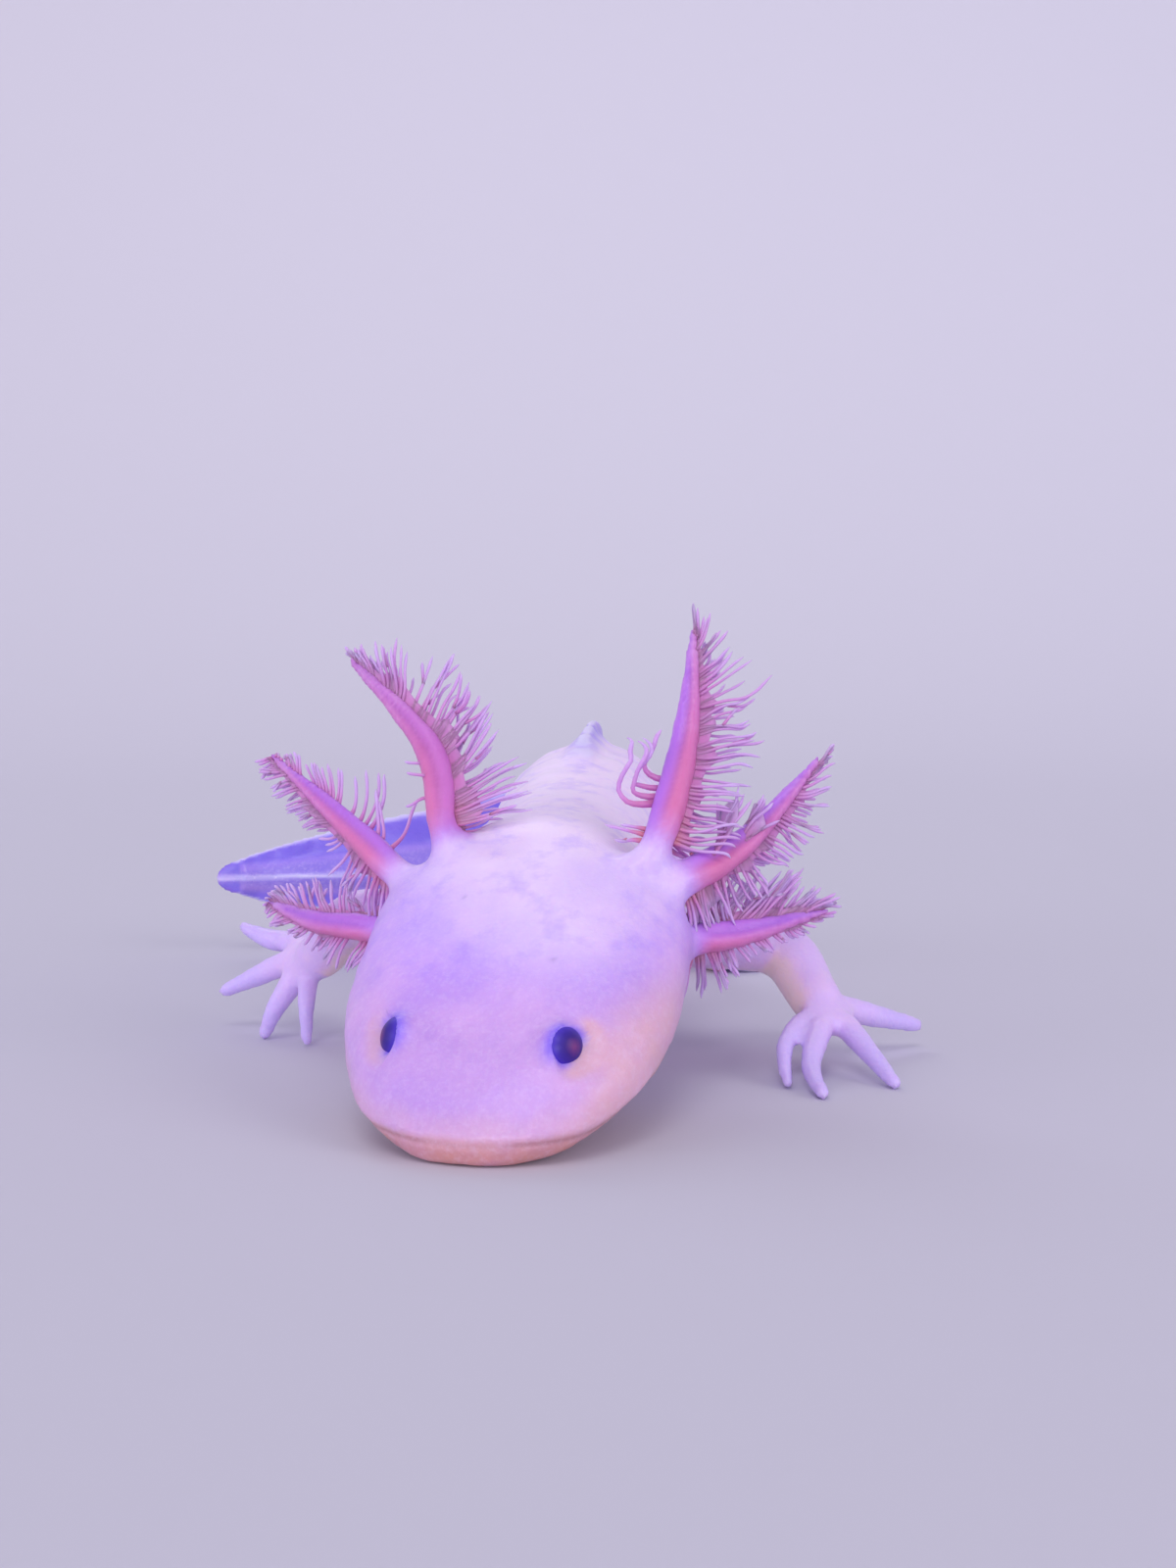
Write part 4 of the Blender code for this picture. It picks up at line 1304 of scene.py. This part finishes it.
def webForm(row, least, rng):   # the thin web that joins the roots of a row's filaments
    levels = np.linspace(-0.1, 1.0, 5)
    root = row["root"]
    way, curl, reach = (evenedOut(row[name]) for name in ("way", "curl", "reach"))
    beside, inside = np.maximum(filament["webReach"], least)
    count = len(root)
    face = unit(np.cross(unit(np.gradient(root, axis=0)), way)) * filament["webThick"] / 2
    deepest = (beside + (inside - beside) * row["inBunch"]) * rng.uniform(0.85, 1.1, count)
    depth = levels[None] * deepest[:, None]
    middle = root[:, None] + way[:, None] * (depth * reach[:, None])[..., None]
    middle = middle + curl[:, None] * (depth ** 2)[..., None]
    thin = (1 - 0.7 * levels / levels[-1])[None, :, None]
    ring = np.concatenate([middle + face[:, None] * thin, (middle - face[:, None] * thin)[:, ::-1]], 1)
    sides = ring.shape[1]
    index, _, quads = ringFaces(count, sides)
    faces = quads.tolist() + [index[0, ::-1].tolist(), index[-1].tolist()]
    cells = np.repeat(np.arange(count - 1), sides).tolist() + [0, count - 2]
    masks = {"along": np.concatenate([depth, depth[:, ::-1]], 1).ravel(),
             "tone": np.full(count * sides, 0.4),
             "place": np.repeat(row["place"], sides)}
    return ring.reshape(-1, 3), faces, cells, masks


gillLook = {
    "coral": tint(0.86, 0.50, 0.50),
    "root": tint(0.80, 0.45, 0.70),
    "middle": tint(0.82, 0.57, 0.82),
    "end": tint(0.83, 0.70, 0.96),
}


def gillMaterial():
    look = gillLook
    material, shader, graph = newMaterial("gillFilaments", {
        "Roughness": 0.38, "Subsurface Weight": 0.5, "Subsurface Radius": (1.0, 0.6, 0.8),
        "Subsurface Scale": 0.8 * mm, "Coat Weight": 0.1})
    mask = graph.mask
    mottle = graph.noise(900.0, 3.0)
    fromRoot = (mask("place") * 3.0 + mottle * 0.4 - 0.1).clamp()
    root = graph.mix(fromRoot, look["coral"], look["root"])
    outward = (mask("along") * 1.8 + (mottle - 0.5) * 0.6 + mask("place") * 0.3).clamp()
    colour = graph.mix(outward, root, look["middle"])
    atEnd = ((mask("along") - 0.35) * 1.3 + (mask("tone") - 0.5) * 0.5).clamp()
    colour = graph.mix(atEnd, colour, look["end"])
    graph.plug(shader, "Base Color", colour)
    graph.plug(shader, "Normal", graph.bump(graph.noise(3000.0, 2.0), 0.3, 0.03 * mm))
    return material


def filamentMesh(name, rows, tree):
    roots = bpy.data.meshes.new(name)
    roots.from_pydata(rows["root"].tolist(), [], [])
    writeMasks(roots, {key: values for key, values in rows.items() if key not in ("root", "inBunch")})
    holder = added(name + "_roots", roots)
    step = holder.modifiers.new("filaments", "NODES")
    step.node_group = tree
    sizes = {"Thickness": "thick", "Root": "root", "Knob": "knob", "Sway": "sway"}
    for port in tree.interface.items_tree:
        if port.name in sizes:
            step[port.identifier] = filament[sizes[port.name]]
    return evaluated(holder)


def readMask(mesh, name):
    return readArray(mesh.attributes[name].data, "value", 1)[:, 0].astype(float)


def makeGill(name, tree, material, seed):
    rng = np.random.default_rng(seed)
    path = gillPath(name)
    widths = stalkWidths(name)
    combs = gills[name]["rows"]
    groups = [rowRoots(path, widths, row, rng) for row in combs]
    rows = {key: np.concatenate([group[key] for group in groups]) for key in groups[0]}
    rows = forked(rows, rng)
    rows["order"] = np.arange(len(rows["root"]))
    tubes = filamentMesh(name, rows, tree)
    points = meshPoints(tubes)
    faces = [list(face.vertices) for face in tubes.polygons]
    order = np.rint(readMask(tubes, "order")).astype(int)
    cells = [int(order[face[0]]) for face in faces]
    masks = {label: readMask(tubes, label) for label in ("along", "tone", "place")}
    for row, group in zip(combs, groups):
        if row["count"] < filament["webFrom"] and row["web"] is None:
            continue
        webPoints, webFaces, webCells, webMasks = webForm(group, row["web"] or 0.0, rng)
        firstCell = max(cells) + 1
        faces += [[corner + len(points) for corner in face] for face in webFaces]
        cells += [cell + firstCell for cell in webCells]
        points = np.concatenate([points, webPoints])
        for label, values in webMasks.items():
            masks[label] = np.append(masks[label], values)
    mesh = bpy.data.meshes.new("gill_" + name)
    mesh.from_pydata(((points + shift) * mm).tolist(), [], faces)
    cellUv(mesh, np.array(cells))
    writeMasks(mesh, masks)
    return addPiece("fringe_" + name, mesh, material, ["gill_" + name])


gillFinish = gillMaterial()
gillTree = filamentTree(gillFinish)
for number, gillName in enumerate(gills):
    gill = makeGill(gillName, gillTree, gillFinish, filament["seed"] + number)
    print("gill", gillName, len(gill.data.polygons), "faces")


studio = {
    "colour": tint(0.82, 0.81, 0.86),
    "sky": (0.90, 0.90, 1.0, 1),
    "skyStrength": 0.44,
    "floorRadius": 0.4,     # metres, as all of the studio
    "wallRadius": 1.2,
    "wallHeight": 1.5,
    "sides": 96,
    "lights": (             # name, direction it comes from, spread in degrees, strength, colour
        ("key", (-0.07, -0.45, 0.68), 28, 0.55, (0.99, 0.97, 1.0)),
        ("fill", (0.60, -0.36, 0.32), 32, 0.64, (1.0, 0.93, 0.95)),
        ("front", (-0.10, -0.72, 0.15), 26, 0.80, (1.0, 0.95, 1.0)),
        ("side", (-0.62, -0.30, 0.20), 32, 0.55, (0.90, 0.90, 1.0)),
        ("back", (-0.18, 0.43, 0.43), 32, 0.46, (0.90, 0.90, 1.0)),
    ),
}


def makeStudio():           # a pale floor that curves up into a wall all round
    flat = studio["floorRadius"]
    curve = studio["wallRadius"]
    turn = np.linspace(0, math.pi / 2, 16)
    out = np.append(flat + curve * np.sin(turn), flat + curve)[:, None]
    height = np.append(curve * (1 - np.cos(turn)), studio["wallHeight"])[:, None]
    angle = roundAngles(studio["sides"])
    rings = np.stack([out * np.cos(angle), out * np.sin(angle), height + 0 * angle], -1)
    index, _, quads = ringFaces(*rings.shape[:2])
    mesh = bpy.data.meshes.new("studioFloor")
    mesh.from_pydata(rings.reshape(-1, 3).tolist(), [], quads[:, ::-1].tolist() + [index[0].tolist()])
    mesh.shade_smooth()
    floor = added("studioFloor", mesh)
    material, _, _ = newMaterial("paleFloor", {
        "Base Color": studio["colour"], "Roughness": 1.0, "Specular IOR Level": 0.0})
    mesh.materials.append(material)
    floor.visible_shadow = False            # the wall all round lets the low lights through
    world = bpy.data.worlds.new("studioWorld")
    world.use_nodes = True
    sky = world.node_tree.nodes["Background"].inputs
    sky["Color"].default_value = studio["sky"]
    sky["Strength"].default_value = studio["skyStrength"]
    bpy.context.scene.world = world
    for name, place, spread, strength, colour in studio["lights"]:
        light = bpy.data.lights.new(name, "SUN")
        light.angle = math.radians(spread)
        light.energy = strength
        light.color = colour
        added(name, light).rotation_euler = (-Vector(place)).to_track_quat("-Z", "Y").to_euler()


camera = {
    "place": (6.0, -129.5, 27.0),
    "down": 3.11,           # degrees
    "lens": 36.45,
    "sensor": 36,
    "clip": (0.005, 10),    # metres
}


def makeCamera():
    data = bpy.data.cameras.new("camera")
    data.sensor_fit = "VERTICAL"
    data.sensor_height = camera["sensor"]
    data.lens = camera["lens"]
    data.clip_start, data.clip_end = camera["clip"]
    holder = added("camera", data)
    holder.location = (camera["place"] + shift) * mm
    holder.rotation_euler = (math.radians(90 - camera["down"]), 0, 0)
    bpy.context.scene.camera = holder


makeStudio()
makeCamera()
bpy.context.scene.view_settings.view_transform = "Standard"
print("studio ready")

bpy.context.view_layer.update()
